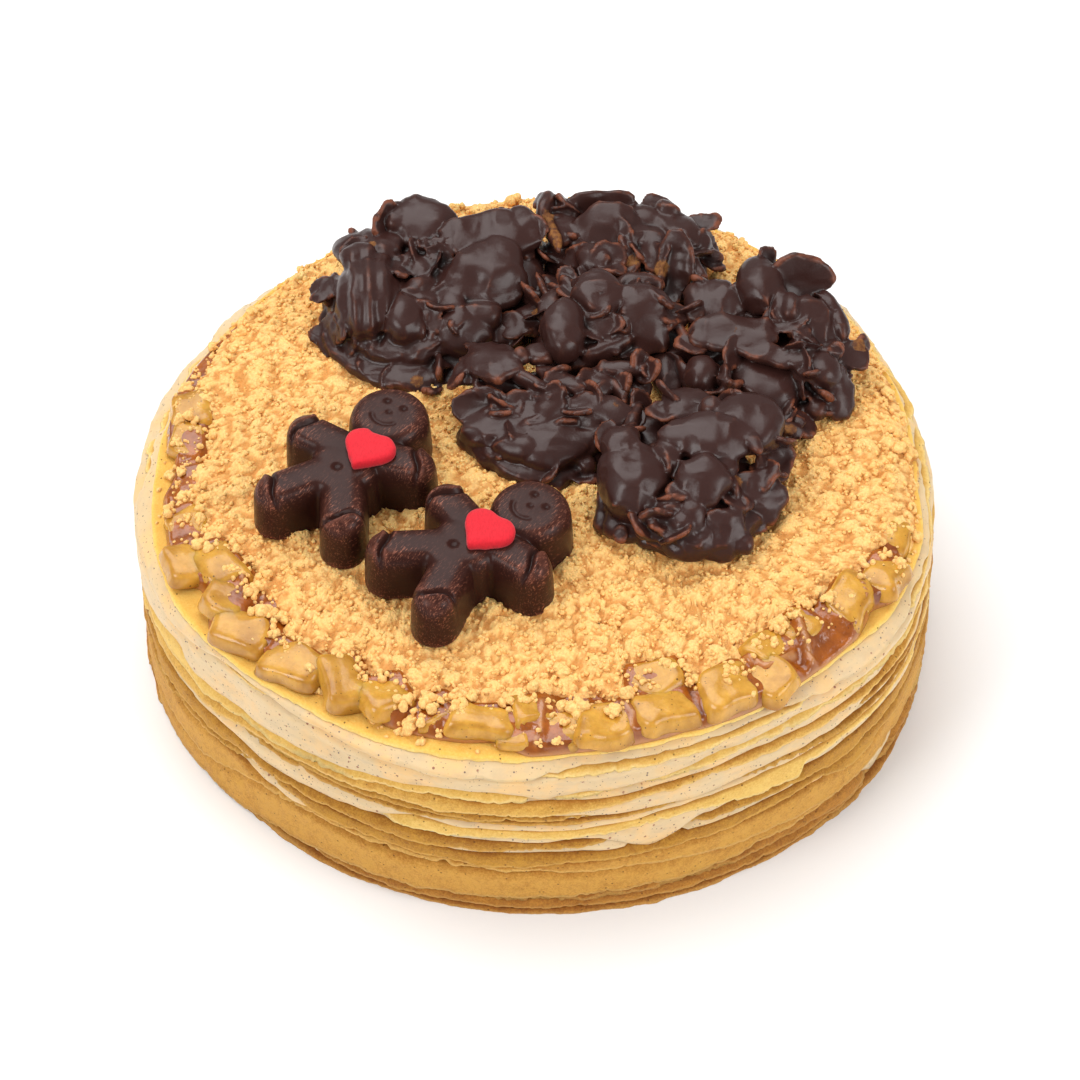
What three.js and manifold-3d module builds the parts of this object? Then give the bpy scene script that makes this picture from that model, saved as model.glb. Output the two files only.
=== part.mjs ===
// A round crepe cake: crepes and spice cream in turns, apple compote and crumble on top,
// with two chocolate gingerbread figures, sugar hearts and six chocolate-coated flake clusters.
// Millimetres, +Z up. The origin is the middle of the underside.

import * as THREE from "three";
import { mergeVertices } from "three/addons/utils/BufferGeometryUtils.js";
import Module from "manifold-3d";

const wasm = await Module();
wasm.setup();

// ---- driving dimensions ------------------------------------------------------------------

const SEGMENTS = 28; // facets round the cake
const LAYER_GAP = 0.1; // clear space between a layer and the next
const NEST_GAP = 0.2; // clear space between two hanging edges, one inside the other
const CUT_GAP = 0.3; // clear space round a piece that sits in another
const FACET_SLACK = 0.5; // how much higher a nested edge is fitted, as facets cut corners
const SHORTEST_EDGE = 0.35; // an edge that drops less than this doesn't hang
const EDGE_STEP = 0.12; // a hanging edge bends at least this far below the layer's underside
const STEEPEST_FLARE = 2.2; // a hanging edge runs out by at most this share of its height
const COVER_SLACK = 0.5; // an edge that shows less than this below another is covered by it
const EDGE_RING = 3; // the ring of a layer's profile where it turns up again

// Values round the cake stand at fifteen places, one every 24 degrees from the front left,
// anticlockwise seen from above. The first seven face the front.
const PLACES = 15;
const FIRST_PLACE = -156;
const FRONT_PLACES = 7;

const WALL_HEIGHT = 46; // height at which the upper outline is measured
const WALL_AT_FOOT = [
  91.6, 89.9, 90.4, 90.2, 90.4, 91.2, 89.4, 88.8, 89.2, 89.6, 89.8, 89.6, 89.4, 89.8, 90.2,
];
const WALL_AT_RIM = [
  90.6, 88.6, 90.4, 89.6, 87.9, 90.8, 87.2, 84.6, 84.4, 84.0, 84.0, 84.2, 84.6, 85.6, 88.4,
];

// Every layer from the plate up: height of its flat underside, its thickness, and for a layer
// whose edge hangs, the height of that edge at the seven front places. `set` is how far the
// edge stays inside the wall, `flap` the thickness of the hanging part, `drip` one place where
// the cream runs down further.
const LAYERS = [
  { kind: "crepe", foot: 0, thick: 1.5 },
  { kind: "cream", set: 1.0 },
  { kind: "crepe", foot: 4.4, thick: 1.2, edge: [2.2, 1.9, 2.3, 2.2, 1.9, 2.4, 2.6] },
  { kind: "cream", set: 1.0 },
  { kind: "crepe", foot: 8.8, thick: 1.2 },
  { kind: "cream", set: 1.0, drip: { at: -35, width: 5, to: 3.4 } },
  { kind: "crepe", foot: 13.6, thick: 1.2, edge: [0.6, 2.2, 4.6, 5.7, 6.8, 5.4, 4.2] },
  { kind: "cream", set: 1.0 },
  { kind: "crepe", foot: 16.4, thick: 1.1, edge: [7.2, 13.2, 15.4, 14.0, 11.1, 8.4, 8.2] },
  { kind: "cream", set: 0.8, drip: { at: -127, width: 6, to: 16.2 } },
  { kind: "crepe", foot: 19.6, thick: 1.2, edge: [16.8, 16.4, 16.9, 17.2, 17.9, 16.6, 14.5] },
  { kind: "cream", set: 0.8, drip: { at: -130, width: 7, to: 17.2 } },
  { kind: "crepe", foot: 23.8, thick: 1.2, edge: [18.4, 20.8, 21.6, 21.7, 21.9, 21.4, 20.5] },
  { kind: "cream", set: 0.8, drip: { at: -74.5, width: 5, to: 18.9 } },
  { kind: "crepe", foot: 28.2, thick: 1.2, edge: [25.0, 24.2, 25.4, 26.2, 23.5, 27.6, 27.2] },
  { kind: "cream", set: 0.6, edge: [26.4, 24.9, 26.6, 29.4, 29.4, 29.4, 29.4] },
  { kind: "crepe", foot: 30.8, thick: 1.0, edge: [28.6, 29.6, 30.2, 30.4, 30.4, 30.4, 30.2] },
  { kind: "cream", set: 0.8 },
  { kind: "crepe", foot: 33.4, thick: 1.0, edge: [30.6, 30.6, 31.6, 32.2, 32.9, 33.0, 32.6] },
  { kind: "cream", set: 0.6, edge: [34.4, 34.4, 34.4, 34.2, 31.6, 32.2, 34.4] },
  { kind: "crepe", foot: 36.8, thick: 1.2, edge: [26.6, 30.4, 33.6, 35.0, 35.3, 36.2, 35.6] },
  { kind: "cream", set: 0.7 },
  { kind: "crepe", foot: 41.6, thick: 1.2, edge: [30.0, 32.6, 37.4, 38.9, 40.9, 41.2, 40.0] },
  { kind: "cream", set: 0.2, flap: 1.1, edge: [33.6, 34.0, 39.0, 40.9, 42.8, 42.8, 42.8] },
  { kind: "crepe", foot: 46.2, thick: 1.0 },
  { kind: "cream", set: 0, flap: 1.1, edge: [44.4, 45.4, 46.2, 45.8, 47.2, 45.8, 45.6] },
  { kind: "crepe", foot: 48.4, thick: 1.2, set: 2.6 },
];
const CREPE_FLAP = 0.7;
const CREAM_FLAP = 0.8;
const HIDDEN_DRAPE = 4.2; // the longest a layer hangs at the back
const TOP = 49.6; // upper face of the top crepe

// The compote: a bed of cooked apple under the crumble, whose dice show all round the front.
const APPLE_OUTLINE = [
  83.5, 83.5, 82.5, 82.5, 84.0, 83.0, 78.0, 72.0, 70.0, 70.0, 70.0, 71.0, 75.0, 77.0, 79.0,
];
const APPLE_BED = 1.6;
const APPLE_DICE = 21;
const APPLE_ARC = { from: 142, span: 190 };
const APPLE_SIDE = 10;
const APPLE_HEIGHT = 4.6;

// The crumble: an uneven mound over the bed, with its clumps as bumps.
const CRUMBLE_OUTLINE = [
  79.0, 77.0, 79.0, 75.5, 77.5, 77.5, 83.0, 80.5, 79.5, 79.0, 79.0, 79.0, 77.5, 76.5, 77.5,
];
const CRUMBLE_HEIGHT = 5.6;
const CRUMBLE_BUMP = 0.9;
const CRUMBLE_RINGS = 7;

// A figure lies on its back: its middle is the belly and +X runs from there to the head.
const FIGURE = {
  height: 12.4,
  foot: 54.2,
  bevel: 2.0,
  head: { at: [18.9, 0], radius: 8.6 },
  limbs: [
    { from: [6.5, 0], to: [6.4, 12.3], radius: 4.7 },
    { from: [6.5, 0], to: [10.6, -12.1], radius: 4.7 },
    { from: [1, 0.8], to: [-11.0, 8.1], radius: 4.7 },
    { from: [1, -0.8], to: [-10.1, -8.3], radius: 4.7 },
  ],
  joint: 4.2, // the grooves at wrists and ankles lie this far from the round tips
};
const FIGURES = [
  { name: "left", at: [-42.7, -22.7], turn: 57, heart: { at: [6.6, -3.2], turn: 3 } },
  { name: "right", at: [-17.8, -44.4], turn: 34, heart: { at: [7.0, -1.6], turn: 16 } },
];
const HEART = { size: 11.2, thick: 2.6, points: 18 };

// The clusters, each a knotted core with flakes standing out of it: middle, the core's half
// sizes, its height, and how many flakes it carries.
const CLUSTER_FOOT = 54.6;
const CLUSTERS = [
  { name: "cluster_back_left", at: [-25.5, 33.5], half: [25.5, 26], tall: 19, flakes: 7, turn: 12 },
  { name: "cluster_back", at: [19, 46.5], half: [22, 15], tall: 17, flakes: 6, turn: -8 },
  { name: "cluster_middle", at: [13.5, 23], half: [17, 12.5], tall: 21, flakes: 4, turn: 10 },
  { name: "cluster_centre", at: [1.5, -3], half: [22.5, 15], tall: 15, flakes: 5, turn: -12 },
  { name: "cluster_right", at: [50, 17.5], half: [22.5, 20], tall: 19, flakes: 7, turn: -20 },
  { name: "cluster_front", at: [33, -23.5], half: [22.5, 19], tall: 19, flakes: 6, turn: 8 },
];
const FLAKE = { long: 9.4, wide: 7.4, thick: 1.5 };

const COLOURS = {
  crepeTop: 0xf5cd74,
  crepeMiddle: 0xdcaa55,
  crepeLow: 0xba7f3c,
  cream: 0xeee0c4,
  apple: 0xc79a55,
  crumble: 0xecbd74,
  chocolate: 0x3a2826,
  heart: 0xe0222f,
};

// ---- helpers -----------------------------------------------------------------------------

const radians = THREE.MathUtils.degToRad;
const clamp = THREE.MathUtils.clamp;
const lerp = THREE.MathUtils.lerp;

// A small repeatable generator of numbers from 0 to 1.
function makeRandom(seed) {
  let state = seed;
  return () => {
    state = (state * 1664525 + 1013904223) % 4294967296;
    return state / 4294967296;
  };
}

// The value at an azimuth in degrees, smooth between the places round the cake.
function around(values, azimuth) {
  const place = (azimuth - FIRST_PLACE) / (360 / PLACES);
  const whole = Math.floor(place);
  const t = place - whole;
  const [a, b, c, d] = [-1, 0, 1, 2].map((k) => values[(((whole + k) % PLACES) + PLACES) % PLACES]);
  return b + 0.5 * t * (c - a + t * (2 * a - 5 * b + 4 * c - d + t * (3 * (b - c) + d - a)));
}

function columnAzimuth(k) {
  return -180 + (360 * k) / SEGMENTS;
}

function wallRadius(azimuth, height) {
  const share = clamp(height / WALL_HEIGHT, 0, 1.1);
  return lerp(around(WALL_AT_FOOT, azimuth), around(WALL_AT_RIM, azimuth), share);
}

function toManifold(geometry) {
  const bare = geometry.index ? geometry.clone() : geometry;
  bare.deleteAttribute("normal");
  bare.deleteAttribute("uv");
  const merged = mergeVertices(bare, 1e-4);
  const mesh = new wasm.Mesh({
    numProp: 3,
    vertProperties: new Float32Array(merged.attributes.position.array),
    triVerts: new Uint32Array(merged.index.array),
  });
  mesh.merge();
  return new wasm.Manifold(mesh);
}

// The largest closed body of a solid, without the loose scraps that a cut leaves.
function largestBody(solid) {
  const bodies = solid.decompose();
  return bodies.reduce((best, body) => (body.volume() > best.volume() ? body : best));
}

function toGeometry(solid) {
  const mesh = solid.getMesh();
  const geometry = new THREE.BufferGeometry();
  geometry.setAttribute("position", new THREE.BufferAttribute(mesh.vertProperties, 3));
  geometry.setIndex(new THREE.BufferAttribute(mesh.triVerts, 1));
  return geometry;
}

function addMesh(group, name, geometry, colour, roughness) {
  geometry.computeVertexNormals();
  const material = new THREE.MeshStandardMaterial({ color: colour, roughness, metalness: 0 });
  const mesh = new THREE.Mesh(geometry, material);
  mesh.name = name;
  group.add(mesh);
}

// A closed skin over columns of points that all run from the top down, with one more point in
// the middle of the top and of the underside. From ring `turn` on the points run up again, so
// the faces there are split the other way, which keeps both sides of a thin edge parallel.
function closedColumns(columns, top, bottom, turn = Infinity) {
  const count = columns.length;
  const rings = columns[0].length;
  const positions = [...top, ...columns.flat(2), ...bottom];
  const last = positions.length / 3 - 1;
  const index = [];
  const vertex = (k, ring) => 1 + (k % count) * rings + ring;
  for (let k = 0; k < count; k += 1) {
    index.push(0, vertex(k, 0), vertex(k + 1, 0));
    for (let ring = 0; ring < rings - 1; ring += 1) {
      const [a, b] = [vertex(k, ring), vertex(k, ring + 1)];
      const [c, d] = [vertex(k + 1, ring), vertex(k + 1, ring + 1)];
      index.push(...(ring < turn ? [a, b, d, a, d, c] : [a, b, c, b, d, c]));
    }
    index.push(last, vertex(k + 1, rings - 1), vertex(k, rings - 1));
  }
  const geometry = new THREE.BufferGeometry();
  geometry.setAttribute("position", new THREE.Float32BufferAttribute(positions, 3));
  geometry.setIndex(index);
  return geometry;
}

// A closed solid round the Z axis: `profile(azimuth, column)` gives [radius, height] pairs from
// the middle of the top to the middle of the underside, which run up again from ring `turn` on.
function turnedSolid(profile, turn) {
  const columns = [];
  let ends = [];
  for (let k = 0; k < SEGMENTS; k += 1) {
    const azimuth = columnAzimuth(k);
    const [x, y] = [Math.cos(radians(azimuth)), Math.sin(radians(azimuth))];
    const pairs = profile(azimuth, k);
    ends = [pairs[0][1], pairs[pairs.length - 1][1]];
    columns.push(pairs.slice(1, -1).map(([r, z]) => [r * x, r * y, z]));
  }
  return closedColumns(columns, [0, 0, ends[0]], [0, 0, ends[1]], turn);
}

// ---- the layers --------------------------------------------------------------------------

// Fills in what each layer leaves open: a cream reaches from the crepe below it to the crepe
// above, and the edge of a hanging layer goes on round the back in uneven scallops.
function completeLayers() {
  const random = makeRandom(417);
  return LAYERS.map((layer, i) => {
    const isCream = layer.kind === "cream";
    const foot = isCream ? LAYERS[i - 1].foot + LAYERS[i - 1].thick : layer.foot;
    const head = isCream ? LAYERS[i + 1].foot : layer.foot + layer.thick;
    const flap = layer.flap ?? (isCream ? CREAM_FLAP : CREPE_FLAP);
    const edge = layer.edge ? [...layer.edge] : null;
    for (let k = FRONT_PLACES; edge && k < PLACES; k += 1) {
      const drape = HIDDEN_DRAPE * random() ** 2;
      edge.push(isCream ? foot : foot - drape);
    }
    return {
      ...layer,
      foot: foot + (i > 0 ? LAYER_GAP / 2 : 0),
      head: head - LAYER_GAP / 2,
      set: layer.set ?? 0,
      flap,
      edge,
      canHang: Boolean(edge || layer.drip),
    };
  });
}

const layers = completeLayers();

// The height of a layer's lower edge: its underside where the edge doesn't hang.
function edgeHeight(layer, azimuth) {
  let height = layer.edge ? around(layer.edge, azimuth) : layer.foot;
  if (layer.drip) {
    const { at, width, to } = layer.drip;
    const away = ((((azimuth - at + 180) % 360) + 360) % 360) - 180;
    height -= (layer.foot - to) * Math.exp(-((away / width) ** 2));
  }
  return height > layer.foot - SHORTEST_EDGE ? layer.foot : Math.max(height, 0);
}

// A column of facets and its neighbours to either side.
function nearby(k) {
  return [k - 1, k, k + 1].map((near) => (near + SEGMENTS) % SEGMENTS);
}

// Whether an edge from higher up hangs over the whole side of layer i in a column.
function isCovered(i, k) {
  const azimuth = columnAzimuth(k);
  const low = edgeHeight(layers[i], azimuth);
  return layers.slice(i + 1).some((layer) => {
    const edge = edgeHeight(layer, azimuth);
    return edge < layer.foot && edge <= low + COVER_SLACK;
  });
}

// The lower edge of layer i in column k. An edge that is covered doesn't hang.
function lowerEdge(i, k) {
  return isCovered(i, k) ? layers[i].foot : edgeHeight(layers[i], columnAzimuth(k));
}

// The side of layer i in column k, inside every edge that hangs over it from `above`.
function nestedSide(i, k, above) {
  const layer = layers[i];
  const azimuth = columnAzimuth(k);
  let top = wallRadius(azimuth, layer.head) - layer.set;
  let cover = layer.head;
  above.forEach((columns) => {
    if (columns[k].lowest > layer.head) {
      return;
    }
    const height = layer.head + FACET_SLACK;
    const reach = Math.min(...nearby(k).map((near) => columns[near].radiusAt(height)));
    top = Math.min(top, reach - columns[k].flap - NEST_GAP);
    cover = Math.min(cover, columns[k].lowest);
  });
  const low = lowerEdge(i, k);
  let knee = clamp(cover - 0.1, low + 0.2, layer.head);
  if (low < layer.foot && knee < layer.head) {
    knee = Math.min(knee, layer.foot - EDGE_STEP);
  }
  const inside = nearby(k).some((near) => isCovered(i, near));
  const flare = Math.max(0, wallRadius(azimuth, low) - layer.set - top);
  const tip = inside ? top : top + Math.min(flare, STEEPEST_FLARE * (knee - low));
  const slope = (tip - top) / Math.max(knee - low, 0.1);
  const radiusAt = (z) => (z >= knee ? top : tip - slope * Math.max(z - low, 0));
  const lowest = Math.min(...nearby(k).map((near) => lowerEdge(i, near)));
  return { low, lowest, top, tip, knee, flap: layer.flap, radiusAt };
}

// The sides of all layers, worked out from the top layer down.
function nestLayers() {
  const sides = new Array(layers.length);
  for (let i = layers.length - 1; i >= 0; i -= 1) {
    sides[i] = [];
    for (let k = 0; k < SEGMENTS; k += 1) {
      sides[i].push(nestedSide(i, k, sides.slice(i + 1)));
    }
  }
  return sides;
}

// A hanging edge bends at the same height on its outside and its inside. Where nothing hangs,
// the points of the inside lie on the flat underside.
function layerProfile({ foot, head, canHang }, { top, tip, low, knee, flap, radiusAt }) {
  const isHanging = low < foot;
  const bend = Math.min(knee, isHanging ? foot - EDGE_STEP : head - 0.2);
  const outside = [[0, head], [isHanging ? radiusAt(head) : top, head], [radiusAt(bend), bend], [tip, low]];
  if (!canHang) {
    return [...outside, [0, foot]];
  }
  const inside = isHanging
    ? [[tip - flap, low], [radiusAt(bend) - flap, bend], [radiusAt(foot) - flap, foot]]
    : [0.7, 0.85, 1].map((share) => [tip - flap * share, foot]);
  return [...outside, ...inside, [0, foot]];
}

function layerColour(layer, i) {
  if (layer.kind === "cream") {
    return COLOURS.cream;
  }
  const share = i / (layers.length - 1);
  const low = new THREE.Color(COLOURS.crepeLow);
  const middle = new THREE.Color(COLOURS.crepeMiddle);
  const top = new THREE.Color(COLOURS.crepeTop);
  return share < 0.5 ? low.lerp(middle, share * 2) : middle.lerp(top, share * 2 - 1);
}

function addLayers(group) {
  const sides = nestLayers();
  const count = { crepe: 0, cream: 0 };
  layers.forEach((layer, i) => {
    count[layer.kind] += 1;
    const name = `${layer.kind}_${String(count[layer.kind]).padStart(2, "0")}`;
    const geometry = turnedSolid((azimuth, k) => layerProfile(layer, sides[i][k]), EDGE_RING);
    addMesh(group, name, geometry, layerColour(layer, i), layer.kind === "cream" ? 0.5 : 0.75);
  });
}

// ---- the compote and the crumble -----------------------------------------------------------

function box(width, depth, height) {
  return new THREE.BoxGeometry(width, depth, height);
}

// The bed with its dice; `grow` widens it all round for the cut in the crumble.
function appleSolid(grow) {
  const low = TOP + 0.1 - grow;
  const bed = turnedSolid((azimuth) => {
    const r = around(APPLE_OUTLINE, azimuth) - 6 + grow;
    return [[0, TOP + APPLE_BED + grow], [r - 1, TOP + APPLE_BED + grow], [r, low], [0, low]];
  });
  const random = makeRandom(2024);
  let solid = toManifold(bed);
  for (let k = 0; k < APPLE_DICE; k += 1) {
    const azimuth = APPLE_ARC.from + ((k + 0.35 * (random() - 0.5)) * APPLE_ARC.span) / APPLE_DICE;
    const side = APPLE_SIDE * (0.8 + 0.4 * random());
    const width = APPLE_SIDE * (0.9 + 0.4 * random());
    const tall = APPLE_HEIGHT * (0.75 + 0.45 * random());
    const spin = azimuth + 50 * (random() - 0.5);
    const r = around(APPLE_OUTLINE, azimuth) - side / 2 - 0.4 - 2.4 * random();
    const die = box(side + 2 * grow, width + 2 * grow, tall + 2 * grow);
    die.rotateZ(radians(spin));
    const x = r * Math.cos(radians(azimuth));
    const y = r * Math.sin(radians(azimuth));
    die.translate(x, y, TOP + 0.1 + tall / 2);
    solid = solid.add(toManifold(die));
  }
  return solid;
}

function crumbleHeight(azimuth, share) {
  const bumps = Math.sin(radians(azimuth) * 7 + share * 21) * Math.sin(share * 17 + azimuth * 0.09);
  const fine = Math.sin(radians(azimuth) * 13 - share * 34);
  const fall = 1 - share ** 6;
  return TOP + 0.2 + (CRUMBLE_HEIGHT + CRUMBLE_BUMP * (0.6 * bumps + 0.4 * fine)) * (0.35 + 0.65 * fall);
}

// The mound as a closed solid; `lift` raises it for the cut under the clusters.
function crumbleMound(lift) {
  return turnedSolid((azimuth) => {
    const outline = around(CRUMBLE_OUTLINE, azimuth);
    const profile = [[0, TOP + 0.2 + CRUMBLE_HEIGHT + lift]];
    for (let ring = 1; ring <= CRUMBLE_RINGS; ring += 1) {
      const share = ring / CRUMBLE_RINGS;
      profile.push([outline * share, crumbleHeight(azimuth, share) + lift]);
    }
    profile.push([outline + 0.8, TOP + 0.1]);
    profile.push([0, TOP + 0.1]);
    return profile;
  });
}

// ---- the chocolate figures and their hearts -------------------------------------------------

function roundedBar(from, to, radius) {
  const along = Math.atan2(to[1] - from[1], to[0] - from[0]);
  const shape = new THREE.Shape();
  shape.absarc(to[0], to[1], radius, along - Math.PI / 2, along + Math.PI / 2, false);
  shape.absarc(from[0], from[1], radius * 0.96, along + Math.PI / 2, along + 1.5 * Math.PI, false);
  return shape;
}

function moulded(shape, grow, curveSegments) {
  const geometry = new THREE.ExtrudeGeometry(shape, {
    depth: FIGURE.height - FIGURE.bevel,
    bevelThickness: FIGURE.bevel,
    bevelSize: FIGURE.bevel * 0.7,
    bevelOffset: grow - FIGURE.bevel * 0.7,
    bevelSegments: 1,
    curveSegments,
  });
  return toManifold(geometry);
}

// `grow` widens the figure for its bed in the crumble.
function figureSolid(grow) {
  const face = new THREE.Shape();
  face.absarc(FIGURE.head.at[0], FIGURE.head.at[1], FIGURE.head.radius, 0, 2 * Math.PI, false);
  let solid = moulded(face, grow, 10);
  FIGURE.limbs.forEach(({ from, to, radius }) => {
    solid = solid.add(moulded(roundedBar(from, to, radius), grow, 3));
  });
  const below = box(90, 90, 20);
  below.translate(0, 0, -10 - grow);
  return solid.subtract(toManifold(below));
}

// The groove across each wrist and ankle, cut into the upper face.
function limbGrooves() {
  return FIGURE.limbs.map(({ from, to, radius }) => {
    const along = Math.atan2(to[1] - from[1], to[0] - from[0]);
    const back = FIGURE.joint - radius;
    const groove = box(0.9, radius * 2.6, 1.6);
    groove.rotateZ(along);
    groove.translate(to[0] - back * Math.cos(along), to[1] - back * Math.sin(along), FIGURE.height);
    return toManifold(groove);
  });
}

function place(solid, { at, turn }, height) {
  return solid.rotate([0, 0, turn]).translate([at[0], at[1], height]);
}

// Two round lobes over a point, with the point along -X and the upper edge rounded off.
function heartSolid({ at, turn }) {
  const { size, thick, points } = HEART;
  const columns = [];
  for (let k = 0; k < points; k += 1) {
    const t = (2 * Math.PI * k) / points;
    const x = 13 * Math.cos(t) - 5 * Math.cos(2 * t) - 2 * Math.cos(3 * t) - Math.cos(4 * t) + 2.5;
    const y = 16 * Math.sin(t) ** 3;
    const ring = (share, z) => [(x * share * size) / 32, (y * share * size) / 32, z];
    columns.push([ring(0.82, thick), ring(1, thick * 0.7), ring(0.97, 0)]);
  }
  const heart = toManifold(closedColumns(columns, [0, 0, thick], [0, 0, 0]));
  return heart.rotate([0, 0, turn]).translate([at[0], at[1], FIGURE.height + CUT_GAP]);
}

// ---- the flake clusters ---------------------------------------------------------------------

function flakeSolid(random) {
  const long = FLAKE.long * (0.75 + 0.5 * random());
  const wide = FLAKE.wide * (0.75 + 0.5 * random());
  const flake = new THREE.SphereGeometry(1, 7, 3);
  flake.rotateX(Math.PI / 2);
  flake.scale(long, wide, FLAKE.thick);
  const positions = flake.attributes.position;
  for (let k = 0; k < positions.count; k += 1) {
    const curl = (positions.getX(k) / long) ** 2 * 1.6;
    positions.setZ(k, positions.getZ(k) + curl);
  }
  return flake;
}

// A knotted core, with flakes leaning outward round its sides and lying flat over its top.
function clusterSolid({ at, half, tall, flakes, turn }, seed) {
  const random = makeRandom(seed);
  const core = new THREE.SphereGeometry(1, 9, 6);
  core.rotateX(Math.PI / 2);
  core.scale(half[0] * 0.86, half[1] * 0.86, tall * 0.82);
  let solid = toManifold(core);
  for (let k = 0; k < flakes; k += 1) {
    const bearing = (k * 137.5 + 20 * random()) % 360;
    const rise = k / flakes;
    const flake = flakeSolid(random);
    flake.rotateZ(radians(90));
    flake.rotateY(radians(lerp(62, 12, rise) + 16 * (random() - 0.5)));
    flake.rotateZ(radians(bearing));
    const reach = lerp(0.86, 0.3, rise);
    const x = half[0] * reach * Math.cos(radians(bearing));
    const y = half[1] * reach * Math.sin(radians(bearing));
    flake.translate(x, y, tall * lerp(0.3, 0.84, rise));
    solid = solid.add(toManifold(flake));
  }
  return solid.rotate([0, 0, turn]).translate([at[0], at[1], CLUSTER_FOOT]);
}

function scaledAbout(solid, [x, y], amount) {
  const z = CLUSTER_FOOT + 5;
  return solid.translate([-x, -y, -z]).scale(amount).translate([x, y, z]);
}

// The clusters stand on the crumble, each clear of those before it.
function clusterSolids() {
  const bed = toManifold(crumbleMound(CUT_GAP));
  const under = box(220, 220, 40);
  under.translate(0, 0, TOP + 2 - 20);
  const ground = bed.add(toManifold(under));
  const made = [];
  CLUSTERS.forEach((cluster, k) => {
    let solid = clusterSolid(cluster, 101 + 17 * k).subtract(ground);
    made.forEach((other) => {
      solid = solid.subtract(other.solid.add(scaledAbout(other.solid, other.at, 1.04)));
    });
    made.push({ name: cluster.name, at: cluster.at, solid: largestBody(solid) });
  });
  return made;
}

// ---- the whole ----------------------------------------------------------------------------

function addToppings(group) {
  const apple = largestBody(appleSolid(0));
  addMesh(group, "apple_compote", toGeometry(apple), COLOURS.apple, 0.25);

  let crumble = toManifold(crumbleMound(0)).subtract(appleSolid(CUT_GAP));
  const bed = figureSolid(CUT_GAP);
  FIGURES.forEach((figure) => {
    crumble = crumble.subtract(place(bed, figure, FIGURE.foot));
  });
  addMesh(group, "crumble", toGeometry(largestBody(crumble)), COLOURS.crumble, 0.95);

  const figure = limbGrooves().reduce((solid, groove) => solid.subtract(groove), figureSolid(0));
  FIGURES.forEach((where) => {
    const body = toGeometry(largestBody(place(figure, where, FIGURE.foot)));
    addMesh(group, `gingerbread_${where.name}`, body, COLOURS.chocolate, 0.45);
    const heart = toGeometry(place(heartSolid(where.heart), where, FIGURE.foot));
    addMesh(group, `heart_${where.name}`, heart, COLOURS.heart, 0.7);
  });

  clusterSolids().forEach(({ name, solid }) => {
    addMesh(group, name, toGeometry(solid), COLOURS.chocolate, 0.35);
  });
}

const cake = new THREE.Group();
addLayers(cake);
addToppings(cake);

export default cake;
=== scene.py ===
import math

import bmesh
import bpy
import numpy as np
from mathutils import Matrix, Vector


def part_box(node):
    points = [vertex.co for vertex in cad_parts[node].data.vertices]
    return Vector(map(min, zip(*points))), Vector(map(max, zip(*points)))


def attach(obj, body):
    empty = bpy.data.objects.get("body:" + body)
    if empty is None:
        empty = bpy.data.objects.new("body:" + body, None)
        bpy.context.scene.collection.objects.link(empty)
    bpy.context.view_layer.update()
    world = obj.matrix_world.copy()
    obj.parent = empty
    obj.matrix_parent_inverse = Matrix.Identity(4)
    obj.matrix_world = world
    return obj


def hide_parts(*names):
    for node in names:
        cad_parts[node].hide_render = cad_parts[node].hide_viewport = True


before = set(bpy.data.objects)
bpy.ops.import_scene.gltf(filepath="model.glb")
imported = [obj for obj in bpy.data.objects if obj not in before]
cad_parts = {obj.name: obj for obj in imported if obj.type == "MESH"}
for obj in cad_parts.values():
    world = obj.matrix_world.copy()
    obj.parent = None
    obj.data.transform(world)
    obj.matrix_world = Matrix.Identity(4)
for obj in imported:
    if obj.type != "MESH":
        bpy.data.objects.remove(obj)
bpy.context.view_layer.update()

bl_info = {
    "name": "Crepe Cake",
    "version": (1, 0, 0),
    "blender": (4, 5, 0),
    "location": "3D View > Sidebar > Crepe Cake",
    "description": "Makes the looks of a crepe cake round its frame of plain solids",
    "category": "Add Mesh",
}

MM = 0.001
BODY = "root"


def srgb(red, green, blue):
    """A colour given as 0 to 255, as the linear values that a shader takes."""
    parts = [channel / 255 for channel in (red, green, blue)]
    return tuple(p / 12.92 if p <= 0.04045 else ((p + 0.055) / 1.055) ** 2.4 for p in parts)


# ---- numbers round the cake, in millimetres and degrees ----

PLACES = 15
FIRST_PLACE = -156
WALL_HEIGHT = 46
WALL_AT_FOOT = (91.6, 89.9, 90.4, 90.2, 90.4, 91.2, 89.4, 88.8, 89.2, 89.6, 89.8, 89.6, 89.4, 89.8, 90.2)
WALL_AT_RIM = (90.6, 88.6, 90.4, 89.6, 87.9, 90.8, 87.2, 84.6, 84.4, 84.0, 84.0, 84.2, 84.6, 85.6, 88.4)
TOP = 49.6
LOWEST = 0.08
HIDDEN_DRAPE = 4.2
DRAPED_BEHIND = {2, 6, 8, 10, 12, 14, 15, 16, 18, 19, 20, 22, 23, 25}  # layers whose edge hangs at the back
NOISE_RADIUS = 90  # where the noise of the wall is taken, near its true radius
WIDER_THAN_THE_CAKE = 200.0
ABOVE_THE_CAKE = 60.0
GAP = 0.06  # between a layer and the edges that hang over it
FAR_AWAY = 99.0  # the distance of points that nothing has come near yet
BACK_PLACES = tuple(range(12, 181, 24))

COLUMNS = 960
LEVEL_STEP = 0.25
AZIMUTH_STEP = 360 / COLUMNS
AZIMUTHS = -180 + 360 * np.arange(COLUMNS) / COLUMNS
LEVELS = np.arange(0, 52.01, LEVEL_STEP)

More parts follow.
